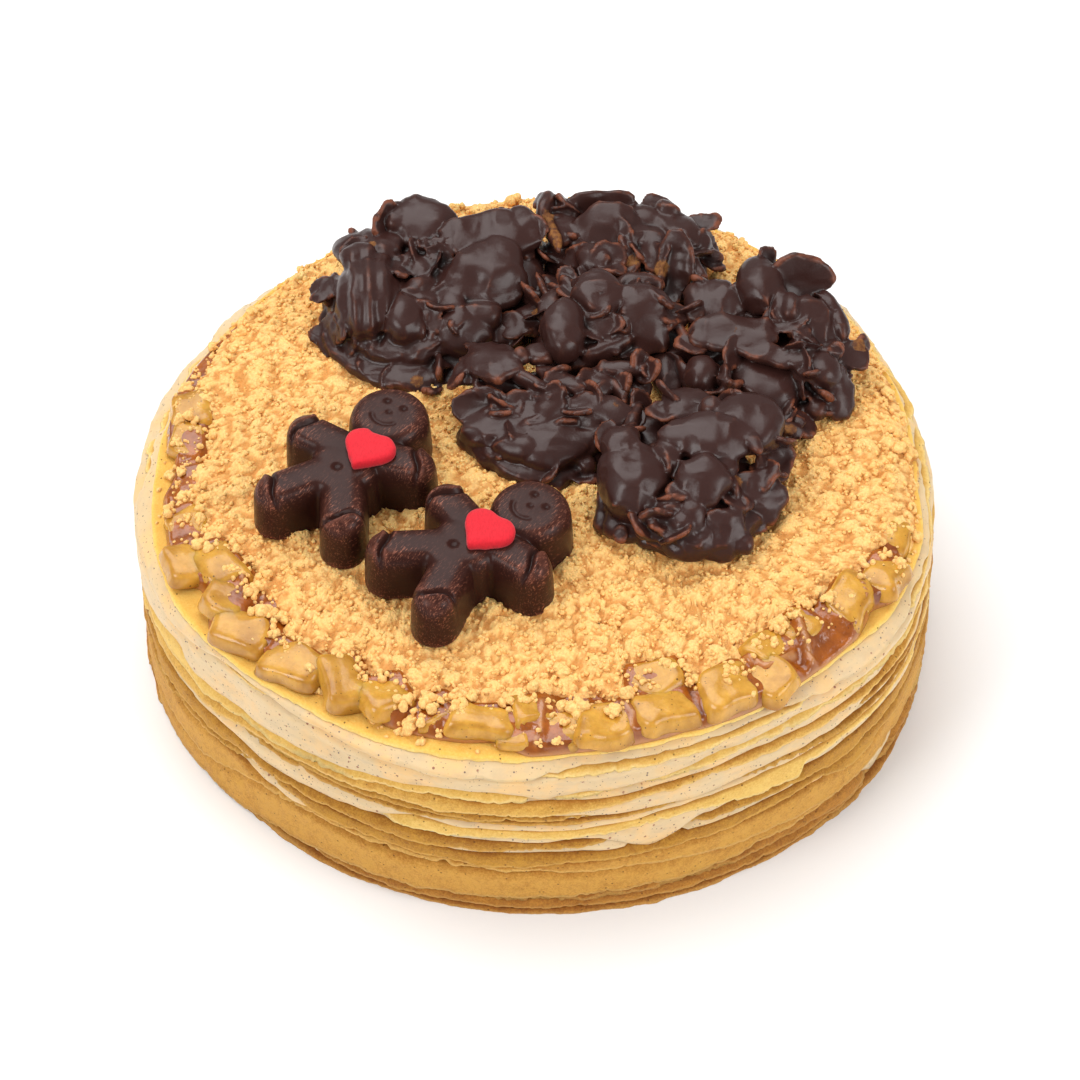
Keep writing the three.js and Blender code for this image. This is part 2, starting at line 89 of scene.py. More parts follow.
# Every layer from the plate up: kind, underside, thickness, how far its edge stays inside the
# wall, thickness of what hangs, and the height of its lower edge at azimuths round the front.
LAYERS = (
    ("crepe", 0.0, 1.5, 0.0, 0.95, ()),
    ("cream", 1.5, 2.9, 1.0, 1.2, ()),
    ("crepe", 4.4, 1.2, 0.0, 0.95,
     ((-156, 2.2), (-132, 1.9), (-108, 2.3), (-84, 2.2), (-60, 1.9), (-48, 1.4), (-36, 2.4), (-12, 2.6))),
    ("cream", 5.6, 3.2, 1.0, 1.2, ()),
    ("crepe", 8.8, 1.2, 0.0, 0.95,
     ((-110, 8.8), (-100, 5.4), (-84, 4.8), (-60, 4.6), (-48, 3.6), (-42, 3.4), (-30, 4.2), (-18, 6.0),
      (-12, 8.8))),
    ("cream", 10.0, 3.6, 1.0, 1.2,
     ((-42, 10.0), (-40.5, 7.4), (-38, 4.6), (-36, 2.8), (-34, 3.6), (-31.5, 5.4), (-30, 7.8),
      (-29, 10.0))),
    ("crepe", 13.6, 1.2, 0.0, 0.95,
     ((-156, 0.6), (-145, 0.5), (-135, 1.0), (-130, 1.8), (-124, 2.9), (-120, 3.9), (-112, 4.6),
      (-104, 5.0),
      (-96, 5.6), (-88, 5.9), (-80, 5.9), (-76, 6.1), (-68, 5.4), (-64, 6.1), (-58, 7.2), (-53, 7.2),
      (-49, 7.4), (-46, 8.4), (-36, 8.6), (-28, 8.4), (-20, 6.0), (-12, 4.2))),
    ("cream", 14.8, 1.6, 1.0, 1.2, ()),
    ("crepe", 16.4, 1.1, 0.0, 0.95,
     ((-156, 7.0), (-150, 7.5), (-144, 7.4), (-141, 8.9), (-138, 10.4), (-135, 12.6), (-132, 13.8),
      (-127, 14.7), (-120, 15.9), (-112, 15.9), (-102, 15.6), (-92, 15.1), (-82, 14.0), (-75, 13.1),
      (-68, 11.8), (-60, 10.7), (-52, 9.4), (-44, 8.4), (-36, 8.4), (-28, 7.6), (-12, 8.2))),
    ("cream", 17.5, 2.1, 0.4, 1.1,
     ((-153, 17.5), (-151, 16.4), (-147, 16.9), (-144, 17.5), (-135, 17.5), (-133, 16.0), (-131, 15.5),
      (-127, 15.8), (-124, 16.2), (-121.5, 17.5))),
    ("crepe", 19.6, 1.2, 0.0, 0.95,
     ((-156, 16.8), (-150, 17.2), (-143, 17.2), (-138, 18.0), (-134, 18.8), (-130, 18.7), (-126, 18.3),
      (-122, 17.3), (-119, 17.0), (-110, 17.0), (-104, 16.6), (-98, 17.0), (-91, 17.0), (-87, 18.1),
      (-82, 18.3), (-77, 17.4), (-72, 16.7), (-66, 17.2), (-60, 18.1), (-54, 18.2), (-50, 18.8),
      (-47, 17.4), (-44, 15.6), (-41, 15.1), (-38, 15.8), (-36.5, 17.4), (-33, 17.2), (-30, 15.6),
      (-12, 14.5))),
    ("cream", 20.8, 3.0, 0.4, 1.1,
     ((-139, 20.8), (-137.5, 19.7), (-133, 19.3), (-129, 19.5), (-127, 20.8))),
    ("crepe", 23.8, 1.2, 0.0, 0.95,
     ((-156, 18.4), (-148, 19.2), (-140, 19.6), (-136, 20.6), (-126, 21.2), (-120, 21.5), (-110, 21.3),
      (-100, 21.7), (-92, 22.2), (-85, 23.0), (-79, 23.4), (-70, 22.6), (-64, 22.0), (-54, 21.6),
      (-50, 21.0), (-46, 19.6), (-40, 21.4), (-34, 20.9), (-12, 20.5))),
    ("cream", 25.0, 3.2, 0.2, 1.2,
     ((-82, 25.0), (-80.5, 23.8), (-78, 21.6), (-76, 19.4), (-75, 18.9), (-73.6, 18.9), (-72, 20.4),
      (-70, 23.2), (-68, 23.9), (-65, 24.2), (-62, 25.0))),
    ("crepe", 28.2, 1.2, 0.0, 0.95,
     ((-156, 25.6), (-144, 25.0), (-138, 24.8), (-132, 24.2), (-126, 24.2), (-120, 24.8), (-114, 25.8),
      (-110, 26.0), (-107, 25.2), (-102, 25.8), (-96, 26.2), (-90, 26.5), (-84, 26.8), (-80, 26.5),
      (-76, 26.9), (-72, 27.1), (-68, 26.6), (-64, 25.6), (-61, 24.2), (-58, 23.7), (-52.6, 23.5),
      (-52.2, 27.0), (-48, 27.3), (-43, 27.9), (-36, 27.9), (-28, 27.6), (-12, 27.2))),
    ("cream", 29.4, 1.4, 0.2, 1.2,
     ((-165, 27.5), (-156, 26.4), (-150, 25.2), (-145, 24.6), (-140, 24.4), (-136, 24.0), (-131, 23.4),
      (-127, 23.4), (-121, 24.1), (-116, 24.8), (-112, 26.0), (-109, 28.0), (-106, 29.4))),
    ("crepe", 30.8, 1.0, 0.0, 0.9,
     ((-156, 28.6), (-144, 28.2), (-138, 28.4), (-120, 28.6), (-114, 29.2), (-108, 30.2), (-100, 30.8),
      (-60, 30.8), (-36, 30.4), (-12, 30.2))),
    ("cream", 31.8, 1.6, 0.8, 1.2, ()),
    ("crepe", 33.4, 1.0, 0.0, 0.9,
     ((-156, 30.6), (-144, 29.2), (-132, 29.9), (-120, 31.0), (-108, 31.8), (-98, 32.0), (-92, 32.6),
      (-84, 32.6), (-78, 33.2), (-72, 33.4), (-60, 33.2), (-36, 33.0), (-12, 32.6))),
    ("cream", 34.4, 2.4, 0.3, 1.2,
     ((-90, 34.4), (-85, 33.4), (-80, 32.4), (-76, 31.8), (-70, 31.2), (-66, 30.9), (-60, 31.6),
      (-54, 32.0), (-48, 32.2), (-44, 32.8), (-40, 34.0), (-37, 34.4))),
    ("crepe", 36.8, 1.2, 0.0, 0.95,
     ((-156, 26.6), (-150, 26.4), (-145, 26.2), (-140, 27.2), (-136, 28.9), (-132, 30.4), (-126, 31.4),
      (-120, 32.4), (-114, 33.0), (-108, 33.5), (-102, 33.9), (-97, 34.6), (-90, 34.8), (-84, 35.1),
      (-78, 36.2), (-72, 36.6), (-66, 36.0), (-60, 35.5), (-48, 35.5), (-42, 36.0), (-28, 36.0),
      (-12, 35.6))),
    ("cream", 38.0, 3.6, 0.7, 1.2, ()),
    ("crepe", 41.6, 1.2, 0.0, 0.95,
     ((-156, 31.0), (-150, 30.7), (-143, 30.0), (-138, 31.2), (-132, 32.2), (-126, 33.4), (-121, 34.6),
      (-117, 35.6), (-112, 36.6), (-108, 37.4), (-103, 38.3), (-98, 38.8), (-92, 39.0), (-86, 39.0),
      (-80, 39.6), (-75, 39.9), (-70, 40.2), (-66, 40.6), (-60, 41.2), (-52, 41.0), (-45, 41.4),
      (-38, 41.5),
      (-30, 41.2), (-12, 40.0))),
    ("cream", 42.8, 3.4, 0.1, 1.6,
     ((-160, 34.2), (-156, 34.6), (-153, 36.2), (-150, 38.4), (-148, 38.2), (-146.5, 35.6), (-144.5, 33.6),
      (-140, 33.8), (-133, 34.2), (-128, 35.0), (-124, 35.8), (-120, 36.3), (-117, 37.0), (-114, 38.6),
      (-111, 39.0), (-108, 39.9), (-104, 40.8), (-98, 41.2), (-95, 41.0), (-92, 40.8), (-90.5, 39.3),
      (-89.5, 39.2), (-88, 40.5), (-84, 40.4), (-80, 40.2), (-76, 40.6), (-72, 40.8), (-69, 41.6),
      (-66, 42.8))),
    ("crepe", 46.2, 1.0, 0.0, 0.9, ((-140, 46.2), (-90, 46.2), (-84, 45.6), (-60, 45.6), (-46, 46.2))),
    ("cream", 47.2, 1.2, 0.0, 1.6,
     ((-160, 44.6), (-150, 44.0), (-146, 44.3), (-141, 45.6), (-137, 46.8), (-130, 46.6), (-120, 46.2),
      (-112, 45.8), (-104, 45.2), (-98, 45.9), (-92, 45.9), (-89, 46.9), (-85, 47.2), (-56, 47.2),
      (-50, 46.2), (-43, 45.4), (-38, 45.5), (-32, 46.6), (-28, 47.2))),
    ("crepe", 48.4, 1.2, 0.0, 0.95, ()),
)
RIM_OF_TOP_CREPE = (
    (-170, 85.4), (-162, 86.9), (-156, 88.4), (-150, 89.0), (-144, 89.1), (-139, 88.8), (-131, 88.2),
    (-121, 87.8), (-110, 88.1), (-102, 87.8), (-94, 87.0), (-90, 86.4), (-85, 85.8), (-73, 85.6),
    (-60, 86.4), (-50, 86.0), (-42, 86.0), (-37, 87.2), (-32, 87.8), (-18, 86.2), (-10, 83.0), (6, 81.6),
    (20, 81.0), (60, 81.0), (97, 79.7), (123, 78.6), (149, 79.4), (174, 83.0),
)
LIFTED_RIMS = {
    22: ((-72, 0.0), (-64, 1.6), (-58, 2.4), (-45, 2.6), (-36, 2.2), (-28, 0.0)),
}
TOP_LAYER = len(LAYERS) - 1


# ---- noise and other plain mathematics ----


def make_random(seed):
    """The same small generator of numbers from 0 to 1 that the solids are made with."""
    state = seed
    while True:
        state = (state * 1664525 + 1013904223) % 4294967296
        yield state / 4294967296


def around(values, azimuth):
    """The value at an azimuth, smooth between the places round the cake."""
    place = (np.asarray(azimuth, float) - FIRST_PLACE) / (360 / PLACES)
    whole = np.floor(place).astype(int)
    t = place - whole
    table = np.asarray(values, float)
    a, b, c, d = (table[(whole + k) % PLACES] for k in (-1, 0, 1, 2))
    return b + 0.5 * t * (c - a + t * (2 * a - 5 * b + 4 * c - d + t * (3 * (b - c) + d - a)))


def along(pairs, azimuth):
    """The value at an azimuth, straight between the pairs of azimuth and value, round and round."""
    places, values = zip(*pairs)
    return np.interp(azimuth, places, values, period=360)


def blurred(values, width, step):
    """Values round the cake, softened over a width given in the same unit as the step between them."""
    count = len(values)
    reach = np.minimum(np.arange(count), count - np.arange(count)) * step
    kernel = np.exp(-0.5 * (reach / width) ** 2)
    spectrum = np.fft.rfft(kernel / kernel.sum())
    shape = (len(spectrum),) + (1,) * (values.ndim - 1)
    return np.fft.irfft(np.fft.rfft(values, axis=0) * spectrum.reshape(shape), n=count, axis=0)


def wall_radius(azimuth, height):
    """The radius of the cake's wall, between its foot and its rim."""
    share = np.clip(np.asarray(height) / WALL_HEIGHT, 0, 1.1)
    foot, rim = around(WALL_AT_FOOT, azimuth), around(WALL_AT_RIM, azimuth)
    return foot + (rim - foot) * share


def scramble(x, y, z, seed):
    """A repeatable number from -1 to 1 for each point of a lattice."""
    mask = 0xFFFFFFFF
    value = (x * 374761393 + y * 668265263 + z * 1103515245 + seed * 974634777) & mask
    value = ((value ^ (value >> 13)) * 1274126177) & mask
    value = ((value ^ (value >> 15)) * 2246822519) & mask
    return ((value ^ (value >> 16)) & 0xFFFFF) / 524287.5 - 1


def smooth_noise(points, size, seed):
    """Noise from -1 to 1 at points, with lumps of a given size."""
    spot = np.asarray(points, float) / size + 1000
    cell = np.floor(spot).astype(np.int64)
    t = spot - cell
    t = t * t * t * (t * (t * 6 - 15) + 10)
    result = np.zeros(len(spot))
    for corner in range(8):
        dx, dy, dz = corner & 1, corner >> 1 & 1, corner >> 2 & 1
        weight = np.abs(1 - dx - t[:, 0]) * np.abs(1 - dy - t[:, 1]) * np.abs(1 - dz - t[:, 2])
        result += weight * scramble(cell[:, 0] + dx, cell[:, 1] + dy, cell[:, 2] + dz, seed)
    return result


def rough_noise(points, size, seed, octaves=3):
    """Noise with finer and finer lumps on it."""
    total, share = 0, 1.0
    for octave in range(octaves):
        total = total + share * smooth_noise(points, size / 2**octave, seed + 31 * octave)
        share *= 0.5
    return total


def wall_spots(heights):
    """Points round the wall, one height for each azimuth, to take noise at."""
    angle = np.radians(AZIMUTHS)
    return np.stack([NOISE_RADIUS * np.cos(angle), NOISE_RADIUS * np.sin(angle), heights], 1)


def ring_noise(size, seed, octaves=2, height=0.0):
    """Noise at every azimuth of the wall."""
    return rough_noise(wall_spots(np.full(COLUMNS, height)), size, seed, octaves)


def noise_vectors(points, size, seed):
    """Three noises at each point, one along each axis."""
    return np.stack([smooth_noise(points, size, seed + axis) for axis in range(3)], 1)


def flat_spots(x, y):
    """A grid of x and y as a list of points at height 0, to take noise at."""
    return np.stack([x.ravel(), y.ravel(), np.zeros(x.size)], 1)


def azimuth_of(x, y):
    return np.degrees(np.arctan2(y, x))


def ease(value, low, high):
    """From 0 to 1, softly, as the value goes from low to high."""
    t = np.clip((value - low) / (high - low), 0, 1)
    return t * t * (3 - 2 * t)


# ---- meshes ----


def make_mesh(name, points, faces, attributes=None):
    """A mesh of millimetre points, with all its faces of one size."""
    mesh = bpy.data.meshes.new(name)
    faces = np.asarray(faces, np.int32)
    mesh.vertices.add(len(points))
    mesh.vertices.foreach_set("co", (np.asarray(points, np.float64) * MM).astype(np.float32).ravel())
    mesh.loops.add(faces.size)
    mesh.loops.foreach_set("vertex_index", faces.ravel())
    mesh.polygons.add(len(faces))
    mesh.polygons.foreach_set("loop_start", np.arange(len(faces), dtype=np.int32) * faces.shape[1])
    mesh.polygons.foreach_set("use_smooth", np.ones(len(faces), bool))
    mesh.update(calc_edges=True)
    for key, values in (attributes or {}).items():
        mesh.attributes.new(key, "FLOAT", "POINT").data.foreach_set("value", np.asarray(values, np.float32))
    return mesh


def add_piece(name, mesh, finish, slot, *nodes):
    """Puts a mesh in the scene as a piece of the cake that stands for the named solids."""
    piece = bpy.data.objects.new(name, mesh)
    bpy.context.scene.collection.objects.link(piece)
    mesh.materials.append(finish)
    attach(piece, BODY)
    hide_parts(*nodes)
    return piece


def turned_faces(columns, rows):
    """The triangles of a skin of columns times rows, closed round, with a fan on either end."""
    column, row = np.meshgrid(np.arange(columns), np.arange(rows - 1), indexing="ij")
    a = 1 + column * rows + row
    b = a + 1
    c = 1 + ((column + 1) % columns) * rows + row
    d = c + 1
    sides = np.concatenate([np.stack([a, b, d], -1).reshape(-1, 3), np.stack([a, d, c], -1).reshape(-1, 3)])
    first = 1 + np.arange(columns) * rows
    following = np.roll(first, -1)
    last = columns * rows + 1
    upper = np.stack([np.zeros(columns, int), first, following], 1)
    lower = np.stack([np.full(columns, last), following + rows - 1, first + rows - 1], 1)
    return np.concatenate([upper, sides, lower])


def turned_points(radii, heights, azimuths):
    """Points of columns of radius and height, with one in the middle of the top and of the underside."""
    angle = np.radians(azimuths)[:, None]
    skin = np.stack([radii * np.cos(angle), radii * np.sin(angle), heights], -1).reshape(-1, 3)
    top, bottom = [0, 0, heights[:, 0].mean()], [0, 0, heights[:, -1].mean()]
    return np.concatenate([[top], skin, [bottom]])


# ---- finishes ----


class Value:
    """A number that varies over a surface; arithmetic on it adds the nodes."""

    def __init__(self, finish, socket):
        self.finish = finish
        self.socket = socket

    def math(self, operation, *values):
        inputs = dict(enumerate(values))
        return self.finish.node("Math", {"operation": operation}, inputs)

    def __add__(self, other):
        return self.math("ADD", self, other)

    __radd__ = __add__

    def __sub__(self, other):
        return self.math("SUBTRACT", self, other)

    def __rsub__(self, other):
        return self.math("SUBTRACT", other, self)

    def __mul__(self, other):
        return self.math("MULTIPLY", self, other)

    __rmul__ = __mul__

    def clamp(self):
        return self.finish.node("Clamp", {}, {0: self})

    def ease(self, low, high):
        """From 0 to 1, softly, as the value goes from low to high."""
        settings = {"interpolation_type": "SMOOTHSTEP"}
        return self.finish.node("MapRange", settings, {0: self, 1: low, 2: high})


class Finish:
    """A material in the making, of nodes round one Principled shader."""

    def __init__(self, name, constants):
        self.material = bpy.data.materials.new(name)
        self.material.use_nodes = True
        self.tree = self.material.node_tree
        self.surface = self.tree.nodes["Principled BSDF"]
        for key, value in constants.items():
            self.surface.inputs[key].default_value = value

    def node(self, kind, settings, inputs, output=0):
        made = self.tree.nodes.new("ShaderNode" + kind)
        for key, value in settings.items():
            setattr(made, key, value)
        for key, value in inputs.items():
            self.feed(made.inputs[key], value)
        return Value(self, made.outputs[output])

    def feed(self, socket, value):
        if isinstance(value, Value):
            self.tree.links.new(value.socket, socket)
        elif socket.type == "RGBA":
            socket.default_value = (*tuple(value)[:3], 1)
        else:
            socket.default_value = value

    def place(self):
        """Where a point is, in millimetres."""
        coordinates = self.node("TexCoord", {}, {}, "Object")
        return self.node("VectorMath", {"operation": "SCALE"}, {0: coordinates, "Scale": 1000.0})

    def stretched(self, place, scale):
        return self.node("VectorMath", {"operation": "MULTIPLY"}, {0: place, 1: scale})

    def noise(self, place, size, detail, roughness=0.5):
        inputs = {"Vector": place, "Scale": 1 / size, "Detail": detail, "Roughness": roughness}
        return self.node("TexNoise", {}, inputs)

    def cells(self, place, size):
        """How far a point is from the nearest of many scattered dots."""
        return self.node("TexVoronoi", {}, {"Vector": place, "Scale": 1 / size}, "Distance")

    def specks(self, place, size, apart, share, radius=0.1):
        """1 inside small specks, on the patches where a broader noise is above a share."""
        speck = 1 - self.cells(place, size).ease(radius, radius + 0.1)
        chosen = self.noise(place, apart, 1.0).ease(share, share + 0.05)
        return speck * chosen

    def attribute(self, name):
        return self.node("Attribute", {"attribute_name": name}, {}, "Fac")

    def mix(self, first, second, factor):
        inputs = {0: factor, 6: first, 7: second}
        return self.node("Mix", {"data_type": "RGBA", "clamp_factor": True}, inputs, 2)

    def multiply(self, first, second, factor):
        settings = {"data_type": "RGBA", "blend_type": "MULTIPLY", "clamp_factor": True}
        return self.node("Mix", settings, {0: factor, 6: first, 7: second}, 2)

    def bump(self, height, distance, strength):
        inputs = {"Height": height, "Distance": distance * MM, "Strength": strength}
        return self.node("Bump", {}, inputs)

    def coat(self, **values):
        names = {"colour": "Base Color", "roughness": "Roughness", "metallic": "Metallic", "normal": "Normal"}
        for key, value in values.items():
            self.feed(self.surface.inputs[names[key]], value)
        return self.material


def crepe_finish(name, light, dark, pale):
    """A fried crepe: sandy mottled gold, with painted shade under the next edge above and a painted shadow
    right beneath it, and paler along its own lower edge.
    """
    finish = Finish(name, {"Subsurface Weight": 0.06, "Subsurface Scale": 0.001, "Specular IOR Level": 0.22})
    place = finish.place()
    broad = finish.noise(place, 7.0, 3.0, 0.55)
    blotch = finish.noise(place, 1.8, 3.0, 0.6)
    grain = finish.noise(place, 0.5, 4.0, 0.75)
    under = finish.attribute("under")
    edge = finish.attribute("edge")
    # Random mottling, and painted shade that darkens the band just under the next edge above.
    mottle_and_shade = under.ease(0.0, 3.5) * 0.5 + (broad - 0.5) * 0.9 + (blotch - 0.5) * 1.3
    mottle_and_shade = mottle_and_shade + (grain - 0.5) * 2.6 + 0.34
    colour = finish.mix(dark, light, mottle_and_shade.clamp())
    rim = (1 - edge.ease(0.15, 0.9)) * (grain * 1.6 - 0.05).clamp()
    colour = finish.mix(colour, pale, rim * 0.9)
    # Painted shadow right under the next edge above.
    shadow = (1 - under.ease(0.0, 0.8)) * edge.ease(0.1, 0.5)
    colour = finish.multiply(colour, srgb(196, 160, 118), shadow * 0.75)
    spots = finish.specks(place, 1.3, 1.9, 0.53)
    colour = finish.mix(colour, srgb(112, 66, 26), spots * 0.8)
    height = grain * 0.8 + finish.noise(place, 0.24, 3.0, 0.6) * 0.5 - spots * 0.8
    return finish.coat(
        colour=colour,
        roughness=blotch * 0.25 + 0.5,
        normal=finish.bump(height, 0.28, 0.9),
    )


SPICES = (
    # size of the specks, from which height of a noise on they lie, and colour
    (1.2, 0.5, (84, 58, 66)), (1.7, 0.52, (138, 62, 46)), (0.7, 0.5, (142, 112, 98)),
)


def cream_finish(name, base, warm, grey):
    """Whipped spice cream with dark specks of ground spice."""
    finish = Finish(name, {"Subsurface Weight": 0.25, "Subsurface Scale": 0.002, "Specular IOR Level": 0.4})
    finish.surface.inputs["Subsurface Radius"].default_value = (1.0, 0.75, 0.5)
    place = finish.place()
    broad = finish.noise(place, 9.0, 3.0, 0.55)
    cloud = finish.noise(finish.stretched(place, (1.0, 1.0, 2.5)), 4.0, 3.0, 0.6)
    colour = finish.mix(base, warm, broad.ease(0.42, 0.68))
    colour = finish.mix(colour, grey, cloud.ease(0.45, 0.72) * 0.5)
    for size, share, tint in SPICES:
        specks = finish.specks(place, size, 1.4 * size, share, 0.12)
        colour = finish.mix(colour, srgb(*tint), specks * 0.85)
    height = finish.noise(place, 1.6, 3.0, 0.55) * 0.6 + finish.noise(place, 0.4, 2.0) * 0.25
    return finish.coat(
        colour=colour,
        roughness=finish.noise(place, 2.5, 2.0) * 0.2 + 0.38,
        normal=finish.bump(height, 0.16, 0.7),
    )


def crumble_finish(name, light, gold, deep):
    """Baked crumble: sandy gold, with painted shade that turns its hollows and the gaps between its beads
    deep orange, so its crests stay paler.
    """
    finish = Finish(name, {"Subsurface Weight": 0.1, "Subsurface Scale": 0.001, "Specular IOR Level": 0.25})
    place = finish.place()
    hollow = finish.attribute("hollow")
    patch = finish.noise(place, 5.0, 3.0, 0.6)
    grain = finish.noise(place, 0.7, 3.0, 0.65)
    beads = finish.cells(place, 0.62)
    colour = finish.mix(gold, light, (patch * 0.9 + grain * 0.8 - 0.38).clamp())
    # Painted shade: the hollow attribute marks the bed's hollows, and on the loose grains a random tone with
    # painted shade on their undersides.
    colour = finish.mix(colour, deep, hollow.ease(0.2, 1.0) * 0.75)
    # Painted shade in the gaps between the beads.
    colour = finish.mix(colour, deep, beads.ease(0.4, 0.8) * 0.3)
    height = finish.noise(place, 0.35, 3.0, 0.6) * 0.6 - beads
    return finish.coat(colour=colour, roughness=0.85 - grain * 0.1, normal=finish.bump(height, 0.25, 0.8))


def apple_finish(name, light, dark, brown):
    """Cooked apple, glassy and yellow brown, browner along the edges of a die, with dark specks of spice."""
    constants = {"Subsurface Weight": 0.3, "Subsurface Scale": 0.003}
    constants.update({"Specular IOR Level": 0.3, "Coat Weight": 0.3})
    finish = Finish(name, constants)
    finish.surface.inputs["Subsurface Radius"].default_value = (1.0, 0.6, 0.25)
    place = finish.place()
    cloud = finish.noise(place, 3.4, 3.0, 0.6)
    fibre = finish.noise(finish.stretched(place, (1.0, 1.0, 0.4)), 0.9, 3.0, 0.6)
    colour = finish.mix(light, dark, (cloud * 1.9 + fibre * 0.6 - 0.85).clamp())
    colour = finish.mix(colour, brown, finish.attribute("sunk").ease(0.35, 1.0) * 0.6)
    worn = finish.attribute("facet").ease(0.6, 1.0) * (cloud * 1.4 - 0.2).clamp()
    colour = finish.mix(colour, brown, worn * 0.45)
    for size, share in ((0.9, 0.56), (1.4, 0.58)):
        colour = finish.mix(colour, srgb(66, 38, 20), finish.specks(place, size, 1.7 * size, share) * 0.85)
    height = fibre * 0.5 + finish.noise(place, 1.8, 3.0, 0.5)
    return finish.coat(colour=colour, roughness=fibre * 0.2 + 0.14, normal=finish.bump(height, 0.25, 0.5))


def glaze_finish(name, base, deep, veil):
    """Apple syrup: amber brown, wet, paler where it thins out."""
    constants = {"Subsurface Weight": 0.08, "Subsurface Scale": 0.002}
    constants.update({"Coat Weight": 0.22, "Coat Roughness": 0.04})
    finish = Finish(name, constants)
    finish.surface.inputs["Subsurface Radius"].default_value = (1.0, 0.5, 0.2)
    place = finish.place()
    cloud = finish.noise(place, 4.0, 3.0, 0.6)
    thin = finish.attribute("thin")
    colour = finish.mix(base, deep, (cloud * 1.8 - 0.45).clamp())
    colour = finish.mix(colour, veil, thin.ease(0.35, 1.0) * 0.6)
    colour = finish.mix(colour, srgb(70, 36, 22), finish.specks(place, 1.0, 1.7, 0.55) * 0.8)
    height = finish.noise(place, 1.3, 3.0, 0.55)
    return finish.coat(colour=colour, roughness=0.14 + cloud * 0.08, normal=finish.bump(height, 0.35, 0.6))


def chocolate_finish(name, base, rim, copper, lustre, shine):
    """Dark chocolate with painted shade in its hollows; `lustre` is how much copper shimmer is brushed over
    its upper edges.
    """
    finish = Finish(name, {"Specular IOR Level": shine, "Coat Weight": 0.04, "Coat Roughness": 0.25})
    place = finish.place()
    crest = finish.attribute("crest")
    patch = finish.noise(place, 3.0, 3.0, 0.6)
    fine = finish.noise(place, 0.6, 3.0, 0.65)
    worn = (crest.ease(0.2, 0.9) * (patch.ease(0.35, 0.62) * 1.2 + 0.1) * (fine * 1.3 + 0.2)).clamp()
    # Painted shade: the hollows of the skin, and the broad hollows marked deep, are darkened towards black.
    deep = finish.attribute("deep").ease(0.1, 0.9) + (0 - crest).ease(0.15, 0.8) * 0.5
    colour = finish.mix(base, tuple(0.3 * c for c in base), deep.clamp())
    colour = finish.mix(colour, rim, worn)
    slant = {"Vector": place, "Angle": math.radians(38)}
    slanted = finish.node("VectorRotate", {"rotation_type": "Z_AXIS"}, slant)
    brushed = finish.noise(finish.stretched(slanted, (3.0, 0.5, 1.4)), 0.8, 4.0, 0.75)
    shimmer = (brushed.ease(0.52, 0.68) * crest.ease(-0.04, 0.55)).clamp() * lustre
    colour = finish.mix(colour, copper, shimmer)
    bare = (finish.attribute("bare") * 1.6 + fine * 0.8 - 0.75).ease(0.1, 0.45)
    toasted = finish.noise(place, 1.1, 3.0, 0.6).ease(0.35, 0.65)
    cereal = finish.mix(srgb(104, 58, 22), srgb(150, 98, 42), toasted)
    colour = finish.mix(colour, cereal, bare * 0.7)
    height = patch * 0.5 + fine * 0.25 + bare * fine
    return finish.coat(
        colour=colour,
        metallic=shimmer * 0.6,
        roughness=(0.24 + patch * 0.16 + worn * 0.2 + bare * 0.4).clamp(),
        normal=finish.bump(height, 0.18, 0.5),
    )


def heart_finish(name, base, deep):
    """Red sugar paste, matt and a little fibrous."""
    finish = Finish(name, {"Specular IOR Level": 0.3, "Sheen Weight": 0.15})
    place = finish.place()
    fibre = finish.noise(finish.stretched(place, (2.6, 0.9, 1.0)), 0.8, 4.0, 0.7)
    colour = finish.mix(base, deep, fibre.ease(0.35, 0.7) * 0.5)
    return finish.coat(colour=colour, roughness=0.62 + fibre * 0.2, normal=finish.bump(fibre, 0.15, 0.7))


def floor_finish(name, base):
    """A matt floor with a faint cloud in its colour."""
    finish = Finish(name, {"Roughness": 0.9, "Specular IOR Level": 0.1})
    cloud = finish.noise(finish.place(), 220.0, 2.0)
    return finish.coat(colour=finish.mix(base, tuple(0.985 * c for c in base), cloud))


# ---- the layers ----


def back_edges():
    """The height of each hanging edge at the places behind the cake."""
    random = make_random(417)
    found = {}
    for index, (kind, foot, *_) in enumerate(LAYERS):
        if index in DRAPED_BEHIND:
            drapes = [HIDDEN_DRAPE * next(random) ** 2 for _ in BACK_PLACES]
            found[index] = [foot - (0 if kind == "cream" else drape) for drape in drapes]
    return found


BACK_EDGES = back_edges()


